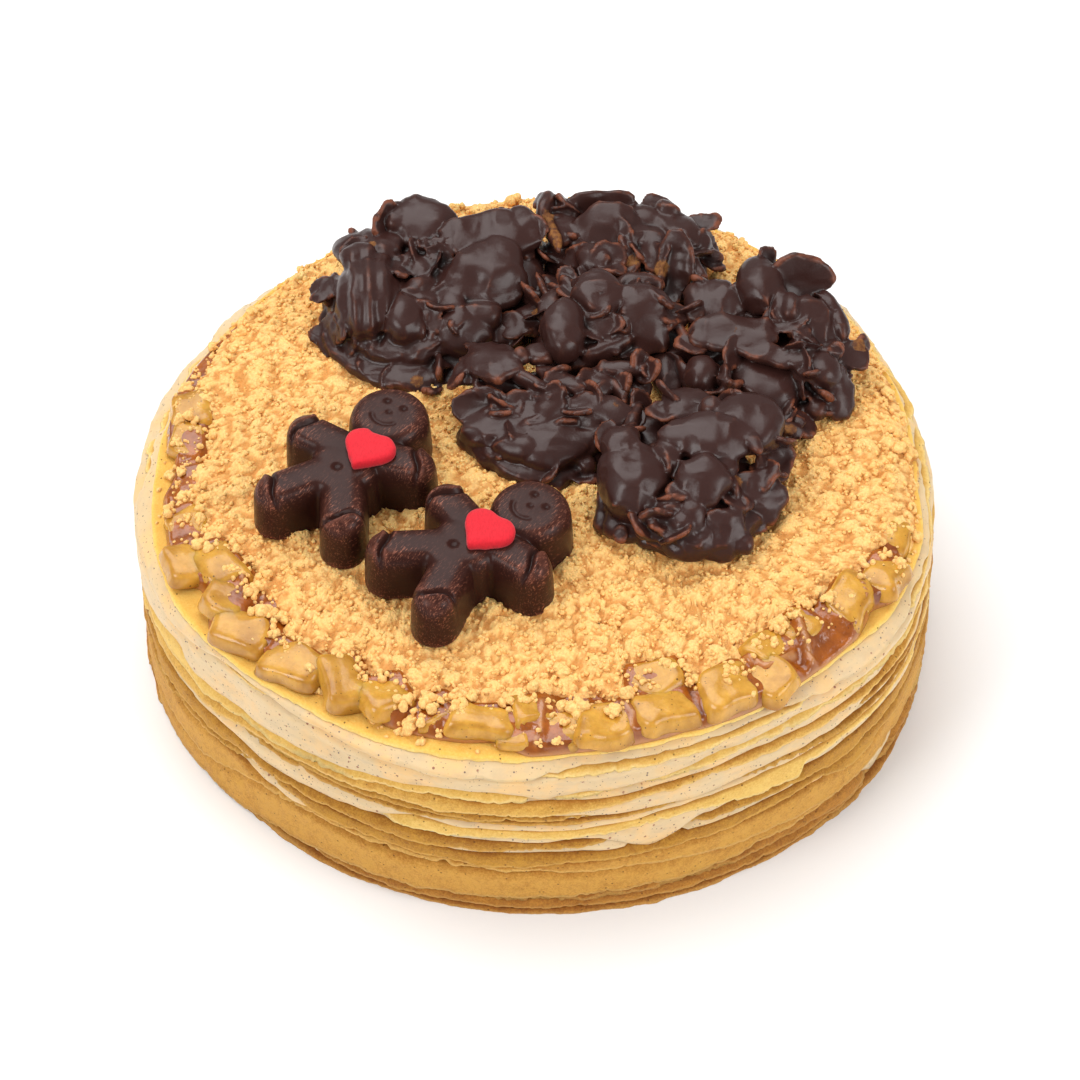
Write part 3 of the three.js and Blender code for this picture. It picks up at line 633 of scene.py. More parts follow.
class Layer:
    """One crepe or cream with its edge round the cake."""

    def __init__(self, index):
        self.index = index
        self.kind, self.foot_level, thick, self.inset, self.flap, front = LAYERS[index]
        self.head_level = self.foot_level + thick
        below, above = LIFTED_RIMS.get(index - 1), LIFTED_RIMS.get(index)
        lift = along(above, AZIMUTHS) if above else np.zeros(COLUMNS)
        lift_below = along(below, AZIMUTHS) if below else np.zeros(COLUMNS)
        self.foot = self.foot_level + 0.03 + (lift_below if self.kind == "cream" else 0)
        self.foot = np.broadcast_to(self.foot, COLUMNS).copy()
        self.head = self.head_level - 0.03 + lift
        self.low = np.maximum(np.minimum(self.lower_edge(front), self.foot), LOWEST)

    def lower_edge(self, front):
        """The height of the lower edge at every azimuth, wavy and ragged where it hangs."""
        back = BACK_EDGES.get(self.index, [self.foot_level] * len(BACK_PLACES))
        pairs = sorted([*front, *zip(BACK_PLACES, back)])
        edge = along(pairs, AZIMUTHS) if front else np.full(COLUMNS, self.foot_level)
        seed = 40 + 7 * self.index
        behind = ease(np.abs(AZIMUTHS + 90), 75, 105)
        if self.kind == "cream":
            edge = blurred(edge, 0.5, AZIMUTH_STEP)
            wander = 0.25 * ring_noise(5, seed) - 1.5 * behind * np.maximum(ring_noise(13, seed + 1), 0)
            return edge + wander * (edge < self.foot_level - 0.2) + behind * np.minimum(wander, 0)
        edge = blurred(edge, 0.22, AZIMUTH_STEP)
        ragged = 0.16 * ring_noise(1.6, seed) + 0.2 * ring_noise(4.5, seed + 1)
        ragged = ragged + 0.13 * ring_noise(0.75, seed + 5)
        bites = 0.75 * np.maximum(ring_noise(1.1, seed + 2) - 0.52, 0)
        bites = bites + 0.9 * np.maximum(ring_noise(2.8, seed + 3) - 0.7, 0)
        wander = behind * (0.8 * ring_noise(22, seed + 4) - 0.6)
        return edge + ragged + bites + wander


def side_of(layer, room):
    """The radius of a layer's outer face at every azimuth and level, inside the edges over it."""
    seed = 300 + 11 * layer.index
    wall = wall_radius(AZIMUTHS[:, None], LEVELS[None, :]) - layer.inset
    if layer.index == TOP_LAYER:
        rim = blurred(along(RIM_OF_TOP_CREPE, AZIMUTHS), 2.0, AZIMUTH_STEP)
        wall = np.repeat(rim[:, None], len(LEVELS), 1)
    if layer.kind == "crepe":
        wave = 0.35 * ring_noise(26, seed) + 0.22 * ring_noise(7, seed + 1) - 0.1
    else:
        wave = 0.35 * ring_noise(15, seed) + 0.15 * ring_noise(4, seed + 1)
    side = np.minimum(wall + wave[:, None], room - GAP)
    steepest = (1.25 if layer.kind == "crepe" else 1.6) * LEVEL_STEP
    for level in range(len(LEVELS) - 2, -1, -1):
        side[:, level] = np.minimum(side[:, level], side[:, level + 1] + steepest)
    return side


def at_heights(table, heights):
    """Values of a table of azimuths times levels, at one height for each azimuth."""
    spot = np.clip(heights / LEVEL_STEP, 0, len(LEVELS) - 1.001)
    whole = np.floor(spot).astype(int)
    t = spot - whole
    columns = np.arange(len(table))
    return table[columns, whole] * (1 - t) + table[columns, whole + 1] * t


EDGE_ROWS = (0.0, 0.08, 0.24, 0.46, 0.68, 0.87, 1.0)
UNSEEN = 9  # millimetres from any edge, for the middle of a layer's top and underside
SEAMS = (
    # layer, azimuth from, to, height at both ends, depth
    (23, -150, -104, 41.0, 42.2, 0.9),
    (23, -146, -112, 44.4, 43.6, 0.5),
    (23, -100, -60, 43.6, 43.8, 0.5),
    (25, -150, -118, 46.6, 47.4, 0.5),
)


def cream_relief(layer, heights):
    """How far a cream's face stands out: soft strokes along the wall, and seams."""
    relief = 0.3 * rough_noise(wall_spots(heights * 3.2), 9, 500 + layer.index)
    for index, start, end, first, last, depth in SEAMS:
        if index == layer.index:
            share = (AZIMUTHS - start) / (end - start)
            seam = first + (last - first) * share + 0.5 * ring_noise(9, 640 + int(first))
            window = ease(share, 0, 0.12) * ease(1 - share, 0, 0.12)
            relief = relief - depth * window * np.exp(-(((heights - seam) / 0.42) ** 2))
    return relief


def layer_rows(layer, side):
    """Rows of radius and height from the rim of the top round the lower edge to the underside."""
    rows = []
    rounding = 1.0 if layer.kind == "crepe" else 0.7
    for share in EDGE_ROWS:
        height = layer.head + (layer.low - layer.head) * share
        radius = at_heights(side, height)
        drop = np.clip((layer.head - height) / rounding, 0, 1)
        radius = radius - rounding * (1 - np.sqrt(1 - (1 - drop) ** 2))
        if layer.kind == "cream":
            lip = np.clip((layer.low + 0.6 - height) / 0.6, 0, 1)
            radius = radius + cream_relief(layer, height) - 0.35 * layer.flap * lip**2
        else:
            fray = 0.25 * ring_noise(6, 900 + layer.index) + 0.1 * ring_noise(1.0, 930 + layer.index)
            radius = radius + 0.05 * ring_noise(0.9, 800 + layer.index, 2, share * 3) + share**3 * fray
        rows.append((radius, height))
    return rows


def layer_mesh(name, layer, side, cover, every):
    """The closed mesh of a layer, with how far each point is under the next edge and over its own."""
    rows = layer_rows(layer, side)
    tip_radius, tip_height = rows[-1]
    inner = np.minimum(at_heights(side, layer.foot), tip_radius) - layer.flap
    hang = layer.foot - layer.low
    rows.append((tip_radius - layer.flap * 0.8, tip_height + 0.05 * np.minimum(hang, 1)))
    rows.append((inner - 0.1, layer.foot.copy()))
    shares = (0.55, 0.8, 0.93, 0.985) if layer.index == TOP_LAYER else (0.96,)
    middle = []
    for share in shares:
        blend = ease(share, 0.7, 1.0)
        middle.append((rows[0][0] * share, layer.head_level + (rows[0][1] - layer.head_level) * blend))
    rows = middle + rows
    pick = np.arange(0, COLUMNS, every)
    radii = np.stack([radius for radius, _ in rows], 1)[pick]
    heights = np.stack([height for _, height in rows], 1)[pick]
    points = turned_points(radii, heights, AZIMUTHS[pick])
    under = np.maximum(cover[pick, None] - heights, 0)
    over = heights - layer.low[pick, None]
    attributes = {}
    for key, table in (("under", under), ("edge", over)):
        attributes[key] = np.concatenate([[UNSEEN], table.ravel(), [UNSEEN]])
    return make_mesh(name, points, turned_faces(len(pick), len(rows)), attributes)


# The light, dark and pale colour of each kind of crepe, and the kinds from the plate up, which grow darker
# and browner towards the plate.
CREPE_COLOURS = {
    "underside brown": ((194, 134, 54), (146, 88, 28), (212, 162, 86)),
    "tan": ((212, 158, 72), (174, 114, 38), (230, 186, 106)),
    "deep gold": ((198, 144, 54), (156, 100, 28), (220, 172, 88)),
    "gold": ((226, 178, 88), (192, 134, 50), (240, 202, 126)),
    "yellow": ((238, 198, 110), (218, 166, 76), (246, 216, 146)),
    "top": ((251, 210, 112), (243, 188, 84), (250, 222, 142)),
}
CREPE_KINDS = (
    "underside brown", "underside brown", "underside brown", "tan", "tan", "deep gold", "deep gold",
    "yellow", "deep gold", "deep gold", "gold", "yellow", "yellow", "top",
)
BROWN_CREPES = 6  # how many from the plate up count as brown


def build_layers(settings):
    """The crepes and creams from the top down, each inside what the ones above leave free."""
    finishes = {}
    for kind, colours in CREPE_COLOURS.items():
        finishes[kind] = crepe_finish("crepe, " + kind, *(srgb(*colour) for colour in colours))
    cream = cream_finish("spice cream", settings.cream, srgb(232, 192, 134), srgb(200, 176, 142))
    room = np.full((COLUMNS, len(LEVELS)), WIDER_THAN_THE_CAKE)
    cover = np.full(COLUMNS, ABOVE_THE_CAKE)
    for index in range(TOP_LAYER, -1, -1):
        layer = Layer(index)
        side = side_of(layer, room)
        number = index // 2 + 1
        is_cream = layer.kind == "cream"
        name = f"{layer.kind}_{number:02d}"
        dressed = name + "_dressed"
        mesh = layer_mesh(dressed, layer, side, np.minimum(cover, layer.head + 0.5), 3 if is_cream else 1)
        if is_cream:
            add_piece(dressed, mesh, cream, "cream", name)
        else:
            slot = "crepe_brown" if number <= BROWN_CREPES else "crepe_golden"
            add_piece(dressed, mesh, finishes[CREPE_KINDS[number - 1]], slot, name)
        hang = layer.foot - layer.low
        depth = blurred(layer.flap * ease(hang, 0.1, 1.0), 0.5, AZIMUTH_STEP)[:, None]
        hangs = (LEVELS[None, :] >= layer.low[:, None] - 0.1) & (LEVELS[None, :] <= layer.foot[:, None] + 0.5)
        tighter = np.where(hangs, np.minimum(room, side - depth), room)
        for shift in (-1, 1):
            tighter = np.minimum(tighter, np.roll(tighter, shift, axis=0))
        room = np.minimum(room, tighter)
        cover = np.minimum(cover, np.where(layer.low < layer.foot - 0.15, layer.low, layer.foot))


# ---- apple ----

DICE = (
    # middle x and y, long and short side, height, turn, tilt
    (-77.3, 7.5, 11, 9.5, 4.2, 100, 6), (-77.4, -1.5, 10, 8.5, 3.6, 80, -7),
    (-74.5, -13.0, 9, 8, 2.8, 100, 5), (-75.8, -26.3, 10.5, 8.5, 3.6, 110, 8),
    (-74.6, -36.8, 11, 9.5, 4.4, 118, -6), (-67.6, -38.8, 13.5, 10, 5.2, 128, 5),
    (-65.6, -47.8, 10, 9, 4.6, 150, -7), (-62.0, -55.6, 12.5, 9.5, 4.4, 158, 6),
    (-50.5, -64.8, 14, 9.5, 4.4, 148, 7), (-40.3, -69.6, 12.5, 9, 5.2, 108, -8),
    (-31.5, -73.1, 10.5, 10.5, 4.6, 20, 7), (-21.5, -76.0, 9, 7, 3.0, 30, 4),
    (-11.7, -79.2, 13.5, 8, 4.0, 178, -5), (-1.8, -77.0, 9, 8.5, 4.0, 10, 6),
    (-5.5, -82.8, 7.5, 5, 2.2, -8, 4), (4.0, -81.0, 9, 8.5, 3.0, 0, -5), (13.5, -80.0, 13, 10, 4.6, 8, 5),
    (23.4, -68.8, 12, 9.5, 4.8, 14, -5), (24.6, -77.0, 12.5, 9.5, 5.0, 20, 4),
    (37.6, -71.6, 12.5, 11, 5.2, 32, -6), (47.2, -68.6, 10, 9, 4.6, 52, 7),
    (47.0, -61.0, 10, 8.5, 4.6, 40, -5), (53.5, -55.0, 9.5, 9, 4.2, 50, 5),
    (64.0, -48.0, 12.5, 9.5, 5.6, 60, -5), (71.8, -40.8, 11, 9, 4.8, 60, 7),
    (74.4, -30.0, 9, 8, 3.2, 70, -6),
)
# Where the syrup ends on the top crepe.
SYRUP_EDGE = (
    (-178, 81.8), (-176.6, 80.0), (-173, 80.0), (-170.6, 81.4), (-168.4, 83.2), (-163, 84.0),
    (-160.5, 84.6), (-156.5, 85.8), (-153.7, 86.4), (-151.3, 85.2), (-149.4, 83.0), (-146.7, 83.0),
    (-144.5, 85.0), (-142.9, 86.8), (-140.5, 88.0), (-138, 86.8), (-135.3, 84.4), (-131, 83.7),
    (-126.5, 83.5), (-124, 82.2), (-121.7, 83.1), (-119.5, 83.8), (-115.2, 83.0), (-111.5, 84.8),
    (-106, 84.8), (-100.6, 84.4), (-96, 83.2), (-94.6, 84.6), (-92.2, 86.2), (-89.5, 87.4), (-87.7, 86.2),
    (-82.9, 86.6), (-78, 86.2), (-70, 85.2), (-64, 86.8), (-57, 87.6), (-53, 86.4), (-42, 86.6),
    (-37, 85.2), (-35, 84.0), (-32, 87.0), (-28, 87.0), (-22, 82.0), (-5, 79.0), (20, 78.4), (60, 78.4),
    (97, 77.4), (123, 76.2), (149, 77.2), (165, 81.2), (173, 82.6), (175, 81.2), (177, 82.4),
)
SYRUP_START = 60.0
VEILS = (
    # skins of syrup drawn out between dice: width, height, and the line
    (1.0, 2.4, ((53.2, -54.5), (54.5, -60.5), (56.4, -65.6))),
    (0.8, 1.8, ((66.5, -43.0), (68.6, -51.5), (63.6, -58.8))),
    (0.7, 1.0, ((-80.6, -18.0), (-81.2, -27.0), (-80.2, -32.0))),
    (0.8, 1.4, ((-69.6, -44.6), (-70.4, -50.0), (-69.6, -54.4))),
    (0.7, 1.2, ((-57.6, -46.4), (-61.4, -44.2), (-63.0, -41.0))),
    (0.8, 1.0, ((42.0, -63.6), (46.0, -66.6), (52.0, -63.0))),
    (0.7, 1.0, ((0.4, -74.8), (0.2, -81.0), (-1.2, -85.0))),
    (0.8, 1.0, ((16.5, -74.5), (18.5, -79.0), (18.0, -84.0))),
)
BLOCK_CUTS = 10


def rounded_block(count):
    """A cube's skin of unit half size, blown to a rounded block: points, quads, and 1 along its edges."""
    work = bmesh.new()
    bmesh.ops.create_cube(work, size=2)
    bmesh.ops.subdivide_edges(work, edges=work.edges[:], cuts=count, use_grid_fill=True)
    points = np.array([v.co[:] for v in work.verts])
    faces = np.array([[v.index for v in f.verts] for f in work.faces])
    work.free()
    norm = (np.abs(points) ** 5).sum(1) ** (1 / 5)
    return points / norm[:, None] * np.abs(points).max(1)[:, None], faces, np.sort(np.abs(points), 1)[:, 1]


def turned_about(points, turn):
    c, s = math.cos(math.radians(turn)), math.sin(math.radians(turn))
    return points @ np.array([[c, s, 0], [-s, c, 0], [0, 0, 1]])


def tilted(points, axis, angle):
    return points @ np.array(Matrix.Rotation(math.radians(angle), 3, axis))


STEEPED_SIDE = -35.0  # the dice further left than this took up more syrup


def build_apple():
    """Rounded dice of apple, each bent a little, and the syrup between them."""
    block, faces, facet = rounded_block(BLOCK_CUTS)
    every_point, every_face, sunk = [], [], []
    for number, (x, y, long, short, tall, turn, tilt) in enumerate(DICE):
        lean = 1 + 0.12 * block[:, 2:3] * np.array([[-1, -1, 0]])
        points = block * lean * np.array([long / 2, short / 2, tall / 2])
        points[:, 0] += 0.22 * math.sin(number * 1.7) * points[:, 1]
        points = points + 0.8 * noise_vectors(points + 40 * number, 5.0, 60)
        points = points + 0.09 * noise_vectors(points + 40 * number, 1.5, 70)
        points = tilted(tilted(points, "X", tilt), "Y", 9 * math.sin(number * 2.3))
        points = turned_about(points, turn) + [x, y, TOP + 0.2 + tall / 2]
        points[:, 2] = np.maximum(points[:, 2], TOP + 0.1)
        every_face.append(faces + len(block) * number)
        every_point.append(points)
        steeped = 0.45 if x < STEEPED_SIDE else 0.0
        steeped = steeped + 0.3 * smooth_noise(points, 6.0, 44)
        sunk.append(np.maximum(1 - (points[:, 2] - TOP) / tall, steeped))
    attributes = {"sunk": np.concatenate(sunk), "facet": np.tile(facet, len(DICE))}
    mesh = make_mesh("apple_dice", np.concatenate(every_point), np.concatenate(every_face), attributes)
    dice = apple_finish("cooked apple", srgb(216, 162, 66), srgb(178, 124, 38), srgb(128, 70, 20))
    add_piece("apple_dice", mesh, dice, "apple", "apple_compote")
    build_glaze()


def dice_distance(x, y):
    """How far points lie outside the nearest die, and how tall that die is."""
    best = np.full(x.shape, FAR_AWAY)
    tall_there = np.zeros(x.shape)
    for cx, cy, long, short, tall, turn, _ in DICE:
        c, s = math.cos(math.radians(turn)), math.sin(math.radians(turn))
        u, v = (x - cx) * c + (y - cy) * s, -(x - cx) * s + (y - cy) * c
        beyond_long = np.maximum(np.abs(u) - long / 2 + 2, 0)
        beyond_short = np.maximum(np.abs(v) - short / 2 + 2, 0)
        outside = np.hypot(beyond_long, beyond_short) - 2
        nearer = outside < best
        best = np.where(nearer, outside, best)
        tall_there = np.where(nearer, tall, tall_there)
    return best, tall_there


def syrup_edge(azimuth):
    return np.minimum(along(SYRUP_EDGE, azimuth), along(RIM_OF_TOP_CREPE, azimuth) - 0.1)


def syrup_height(x, y, inside):
    """How high the syrup stands over the top crepe, and where it is drawn out thin."""
    away, tall = dice_distance(x, y)
    swell = smooth_noise(flat_spots(x, y), 4, 77).reshape(x.shape)
    rim = np.clip(inside / 1.1, 0, 1)
    height = 0.95 * np.sqrt(1 - (1 - rim) ** 2) + (0.6 + 0.4 * swell) * np.clip(inside / 5, 0, 1)
    height = height + 0.55 * tall * np.exp(-np.clip(away, 0, 9) / 0.8) * rim * (away < 4)
    thin = 1 - np.clip(inside / 0.9, 0, 1)
    for width, tallness, line in VEILS:
        veil = np.exp(-((near_curve(x, y, line) / width) ** 2)) * rim
        height = height + tallness * veil
        thin = np.maximum(thin, veil)
    return height, thin


def apple_top(x, y):
    """The height of what lies on the top crepe: bare crepe, syrup or a die."""
    inside = syrup_edge(azimuth_of(x, y)) - np.hypot(x, y)
    height, _ = syrup_height(x, y, np.maximum(inside, 0))
    away, tall = dice_distance(x, y)
    top = (tall - 0.4) * np.sqrt(1 - (1 - np.clip(-away / 1.8, 0, 1)) ** 2)
    return TOP + np.where(inside > 0, np.maximum(height, top), 0)


def build_glaze():
    """Syrup between and round the dice, with a round edge on the crepe."""
    columns, rings = 540, 36
    azimuths = -180 + 360 * np.arange(columns) / columns
    edge = blurred(syrup_edge(azimuths), 0.5, 360 / columns)[:, None]
    radius = SYRUP_START + (edge - SYRUP_START) * (1 - (1 - np.linspace(0, 1, rings)[None, :]) ** 1.7)
    angle = np.radians(azimuths)[:, None]
    height, thin = syrup_height(radius * np.cos(angle), radius * np.sin(angle), edge - radius)
    radii = np.concatenate([radius, edge - 0.3], 1)
    levels = TOP + np.concatenate([0.03 + height, np.full((columns, 1), -0.2)], 1)
    thin = np.concatenate([[0], np.concatenate([thin, np.zeros((columns, 1))], 1).ravel(), [0]])
    points, faces = turned_points(radii, levels, azimuths), turned_faces(columns, rings + 1)
    mesh = make_mesh("apple_glaze", points, faces, {"thin": thin})
    glaze = glaze_finish("apple syrup", srgb(176, 96, 24), srgb(104, 44, 8), srgb(196, 140, 86))
    add_piece("apple_glaze", mesh, glaze, "apple", "apple_compote")


# ---- crumble ----

CRUMBLE_EDGE = (
    (-180, 77.8), (-175, 76.0), (-168, 79.9), (-164, 83.1), (-161, 79.2), (-156, 80.6), (-154, 76.3),
    (-148, 74.6), (-143, 76.0), (-137, 75.6), (-130, 81.3), (-127, 78.3), (-122, 75.1), (-119, 76.6),
    (-114, 79.7), (-110, 83.5), (-106, 79.8), (-100, 80.4), (-96, 77.8), (-87, 73.6), (-81, 74.5),
    (-77, 78.0), (-74, 72.5), (-70, 73.3), (-66, 77.9), (-59, 79.9), (-55, 75.1), (-48, 77.9), (-40, 77.9),
    (-35, 77.3), (-32, 81.0), (-28, 83.7), (-22, 85.0), (-12, 82.5), (0, 81.0), (20, 80.0), (50, 79.4),
    (97, 78.6), (123, 77.2), (149, 77.8), (165, 79.4), (174, 80.5),
)
CRUMBLE_HEIGHT = 5.6
CORE_CELLS = 224
FINE_GRAINS = 8200
GRAIN_SHAPES = 40
STRAY_CLUMPS = 120
LOOSE_CLUMPS = (
    # middle x and y and size of the lumps that lie on the apple and on the crepe beside it
    (-57.3, -51.3, 2.9), (-55.0, -57.0, 1.9), (-57.7, -64.4, 1.1), (-46.8, -67.0, 1.6), (-45.1, -69.6, 1.3),
    (-42.4, -66.2, 1.1), (-79.3, -22.0, 1.6), (-76.5, -18.1, 1.5), (-80.4, -10.0, 1.6), (-64.9, -41.2, 1.4),
    (-72.6, -33.6, 1.7), (-70.4, -34.9, 1.5), (-75.2, -25.3, 1.3), (-51.6, -57.6, 1.6), (-51.8, -61.2, 1.1),
    (-79.0, -3.6, 1.5), (-60.4, -47.0, 1.8), (-52.7, -59.8, 0.9), (-49.8, -58.6, 1.2), (-37.0, -69.6, 0.8),
    (-32.1, -69.1, 1.6), (-27.4, -75.4, 2.0), (-25.8, -79.2, 2.1), (-28.2, -80.4, 1.4), (-23.2, -75.0, 2.0),
    (-21.8, -77.4, 1.5), (-20.4, -81.6, 1.1), (-23.8, -83.4, 1.2), (-31.0, -81.6, 0.7), (-36.1, -74.4, 0.5),
    (-32.9, -73.0, 0.5), (-31.3, -77.4, 0.6), (-16.1, -76.4, 2.0), (-13.7, -74.5, 1.8), (6.0, -76.0, 2.6),
    (7.6, -78.2, 2.0), (4.8, -80.6, 1.2), (6.7, -81.8, 1.1), (-0.2, -84.8, 1.0), (3.5, -84.8, 1.2),
    (1.6, -86.8, 1.7), (14.4, -79.0, 2.0), (17.2, -73.6, 2.0), (2.5, -78.2, 0.9), (30.5, -70.2, 1.5),
    (30.0, -68.4, 1.3), (39.6, -68.2, 1.2), (38.2, -67.2, 1.3), (46.0, -59.2, 1.3), (48.0, -55.8, 1.6),
    (44.2, -61.2, 1.4), (77.4, -42.6, 1.3), (75.6, -39.2, 1.4), (59.9, -49.0, 1.6), (52.2, -53.2, 1.5),
)


def granules(x, y, size, seed, share=1.0):
    """The height of the nearest round grain over points, for grains about a size apart."""
    u, v = x / size + 500, y / size + 500
    cu, cv = np.floor(u).astype(np.int64), np.floor(v).astype(np.int64)
    best = np.full(x.shape, -1.0)
    for du in (-1, 0, 1):
        for dv in (-1, 0, 1):
            iu, iv = cu + du, cv + dv
            px = iu + 0.5 + 0.42 * scramble(iu, iv, 0, seed)
            py = iv + 0.5 + 0.42 * scramble(iu, iv, 1, seed)
            radius = 0.52 + 0.2 * scramble(iu, iv, 2, seed)
            present = scramble(iu, iv, 3, seed) < 2 * share - 1
            away = (u - px) ** 2 + (v - py) ** 2
            dome = np.sqrt(np.clip(radius**2 - away, 0, None)) + 0.25 * scramble(iu, iv, 4, seed)
            best = np.maximum(best, np.where(present & (away < radius**2), dome, -1.0))
    return np.where(best < 0, 0, best) * size


def mound(x, y):
    """The crumble's height over points without its grain, and how far inside its edge they lie."""
    inside = along(CRUMBLE_EDGE, azimuth_of(x, y)) - np.hypot(x, y)
    swell = rough_noise(flat_spots(x, y), 22, 5).reshape(x.shape)
    rise = 1 - np.exp(-np.clip(inside, 0, None) / 4.5)
    return TOP + 0.3 + (CRUMBLE_HEIGHT + 0.9 * swell - 1.2) * rise, inside


def crumble_surface(x, y):
    """The height of the crumble's grainy face over points."""
    spots = flat_spots(x, y)
    wx = x + 0.35 * smooth_noise(spots, 0.9, 21).reshape(x.shape)
    wy = y + 0.35 * smooth_noise(spots, 0.9, 22).reshape(x.shape)
    base, inside = mound(x, y)
    grains = np.maximum(granules(wx, wy, 1.15, 3), 0.55 * granules(wx, wy, 2.1, 4, 0.8))
    clumps = 0.42 * granules(wx, wy, 4.2, 5, 0.55)
    relief = 0.9 * grains + clumps
    return base - 0.5 + relief * ease(inside, -0.5, 2.5), relief


def concentric(count):
    """A square grid bent into a disc of radius 1."""
    line = np.linspace(-1, 1, count + 1)
    a, b = np.meshgrid(line, line, indexing="ij")
    wide = np.abs(a) >= np.abs(b)
    radius = np.where(wide, a, b)
    with np.errstate(divide="ignore", invalid="ignore"):
        steep = math.pi / 2 - math.pi / 4 * np.nan_to_num(a / b)
        angle = np.where(wide, math.pi / 4 * np.nan_to_num(b / a), steep)
    return radius * np.cos(angle), radius * np.sin(angle)


def grid_faces(rows, columns):
    row, column = np.meshgrid(np.arange(rows - 1), np.arange(columns - 1), indexing="ij")
    a = row * columns + column
    return np.stack([a, a + columns, a + columns + 1, a + 1], -1).reshape(-1, 4)


def build_crumble():
    """The crumble bed with its grainy face, with painted shade that darkens its hollows and leaves its crests
    pale.
    """
    # The third colour is the deep orange of the painted shade in the hollows.
    finish = crumble_finish("crumble", srgb(255, 219, 148), srgb(246, 188, 106), srgb(200, 128, 58))
    u, v = concentric(CORE_CELLS)
    fray = rough_noise(flat_spots(60 * u, 60 * v) * 1.4, 5, 91).reshape(u.shape)
    edge = along(CRUMBLE_EDGE, azimuth_of(u, v)) + 1.2 * fray + 0.4
    x, y = u * edge, v * edge
    z, relief = crumble_surface(x, y)
    border = np.hypot(u, v) > 0.9985
    z = np.where(border, TOP - 0.3, z)
    # Painted shade: how far each point lies below the relief round it, which the finish darkens.
    local = relief
    for axis in (0, 1):
        local = sum(np.roll(local, shift, axis) for shift in (-3, -2, -1, 0, 1, 2, 3)) / 7
    hollow = np.clip(0.5 + (local - relief) * 1.6, 0, 1)
    upper = np.stack([x.ravel(), y.ravel(), z.ravel()], 1)
    faces = grid_faces(CORE_CELLS + 1, CORE_CELLS + 1)
    mesh = make_mesh("crumble_bed", upper, faces, {"hollow": hollow.ravel()})
    close_below(mesh, (TOP - 0.5) * MM)
    add_piece("crumble_bed", mesh, finish, "crumble", "crumble")
    build_grains(finish)


def close_below(mesh, level):
    """Closes an open skin with a flat underside."""
    work = bmesh.new()
    work.from_mesh(mesh)
    border = [edge for edge in work.edges if edge.is_boundary]
    made = bmesh.ops.extrude_edge_only(work, edges=border)["geom"]
    low = [item for item in made if isinstance(item, bmesh.types.BMVert)]
    for vertex in low:
        vertex.co.z = level
    rim = [item for item in made if isinstance(item, bmesh.types.BMEdge)]
    bmesh.ops.contextual_create(work, geom=rim)
    bmesh.ops.recalc_face_normals(work, faces=work.faces[:])
    work.to_mesh(mesh)
    work.free()
    mesh.shade_smooth()


def ball(subdivisions):
    """Points and triangles of a round ball of radius 1."""
    work = bmesh.new()
    bmesh.ops.create_icosphere(work, subdivisions=subdivisions, radius=1)
    points = np.array([v.co[:] for v in work.verts])
    faces = np.array([[v.index for v in f.verts] for f in work.faces])
    work.free()
    return points, faces


def strew(name, form, faces, spots, finish, seed):
    """One piece of small grains, no two of one shape, lying at spots of x, y, z and size."""
    rng = np.random.default_rng(seed)
    count, corners = len(spots), len(form)
    bumps = 1 + 0.3 * np.stack([smooth_noise(form * 1.3 + 3.7 * k, 1.0, 17) for k in range(GRAIN_SHAPES)])
    shapes = bumps[rng.integers(0, GRAIN_SHAPES, count)][:, :, None]
    points = form[None] * shapes * rng.uniform(0.72, 1.3, (count, 1, 3))
    turn = rng.uniform(0, 2 * math.pi, count)
    c, s = np.cos(turn)[:, None], np.sin(turn)[:, None]
    x, y, z = points[:, :, 0], points[:, :, 1], points[:, :, 2]
    size = spots[:, 3][:, None]
    points = np.stack([
        (c * x - s * y) * size + spots[:, 0][:, None],
        (s * x + c * y) * size + spots[:, 1][:, None],
        z * size + spots[:, 2][:, None],
    ], -1).reshape(-1, 3)
    every_face = (faces[None] + corners * np.arange(count)[:, None, None]).reshape(-1, 3)
    # A random tone for each grain, with painted shade that darkens the lower side of each grain.
    tone_and_underside_shade = np.repeat(rng.uniform(-0.1, 0.45, count), corners) - 0.25 * np.tile(form[:, 2], count)
    mesh = make_mesh(name, points, every_face, {"hollow": tone_and_underside_shade})
    add_piece(name, mesh, finish, "crumble", "crumble")


def on_crumble(table, sink):
    """Spots of x, y, size and lift, laid on the crumble, the apple or the crepe; none hangs over the rim."""
    x, y, size, lift = table.T
    level, _ = crumble_surface(x, y)
    inside = along(CRUMBLE_EDGE, azimuth_of(x, y)) - np.hypot(x, y)
    level = np.where(inside > -0.3, level, 0)
    rim = along(RIM_OF_TOP_CREPE, azimuth_of(x, y))
    z = np.maximum(level, apple_top(x, y)) + sink * size + lift
    return np.stack([x, y, z, size], 1)[np.hypot(x, y) < rim - 0.9]


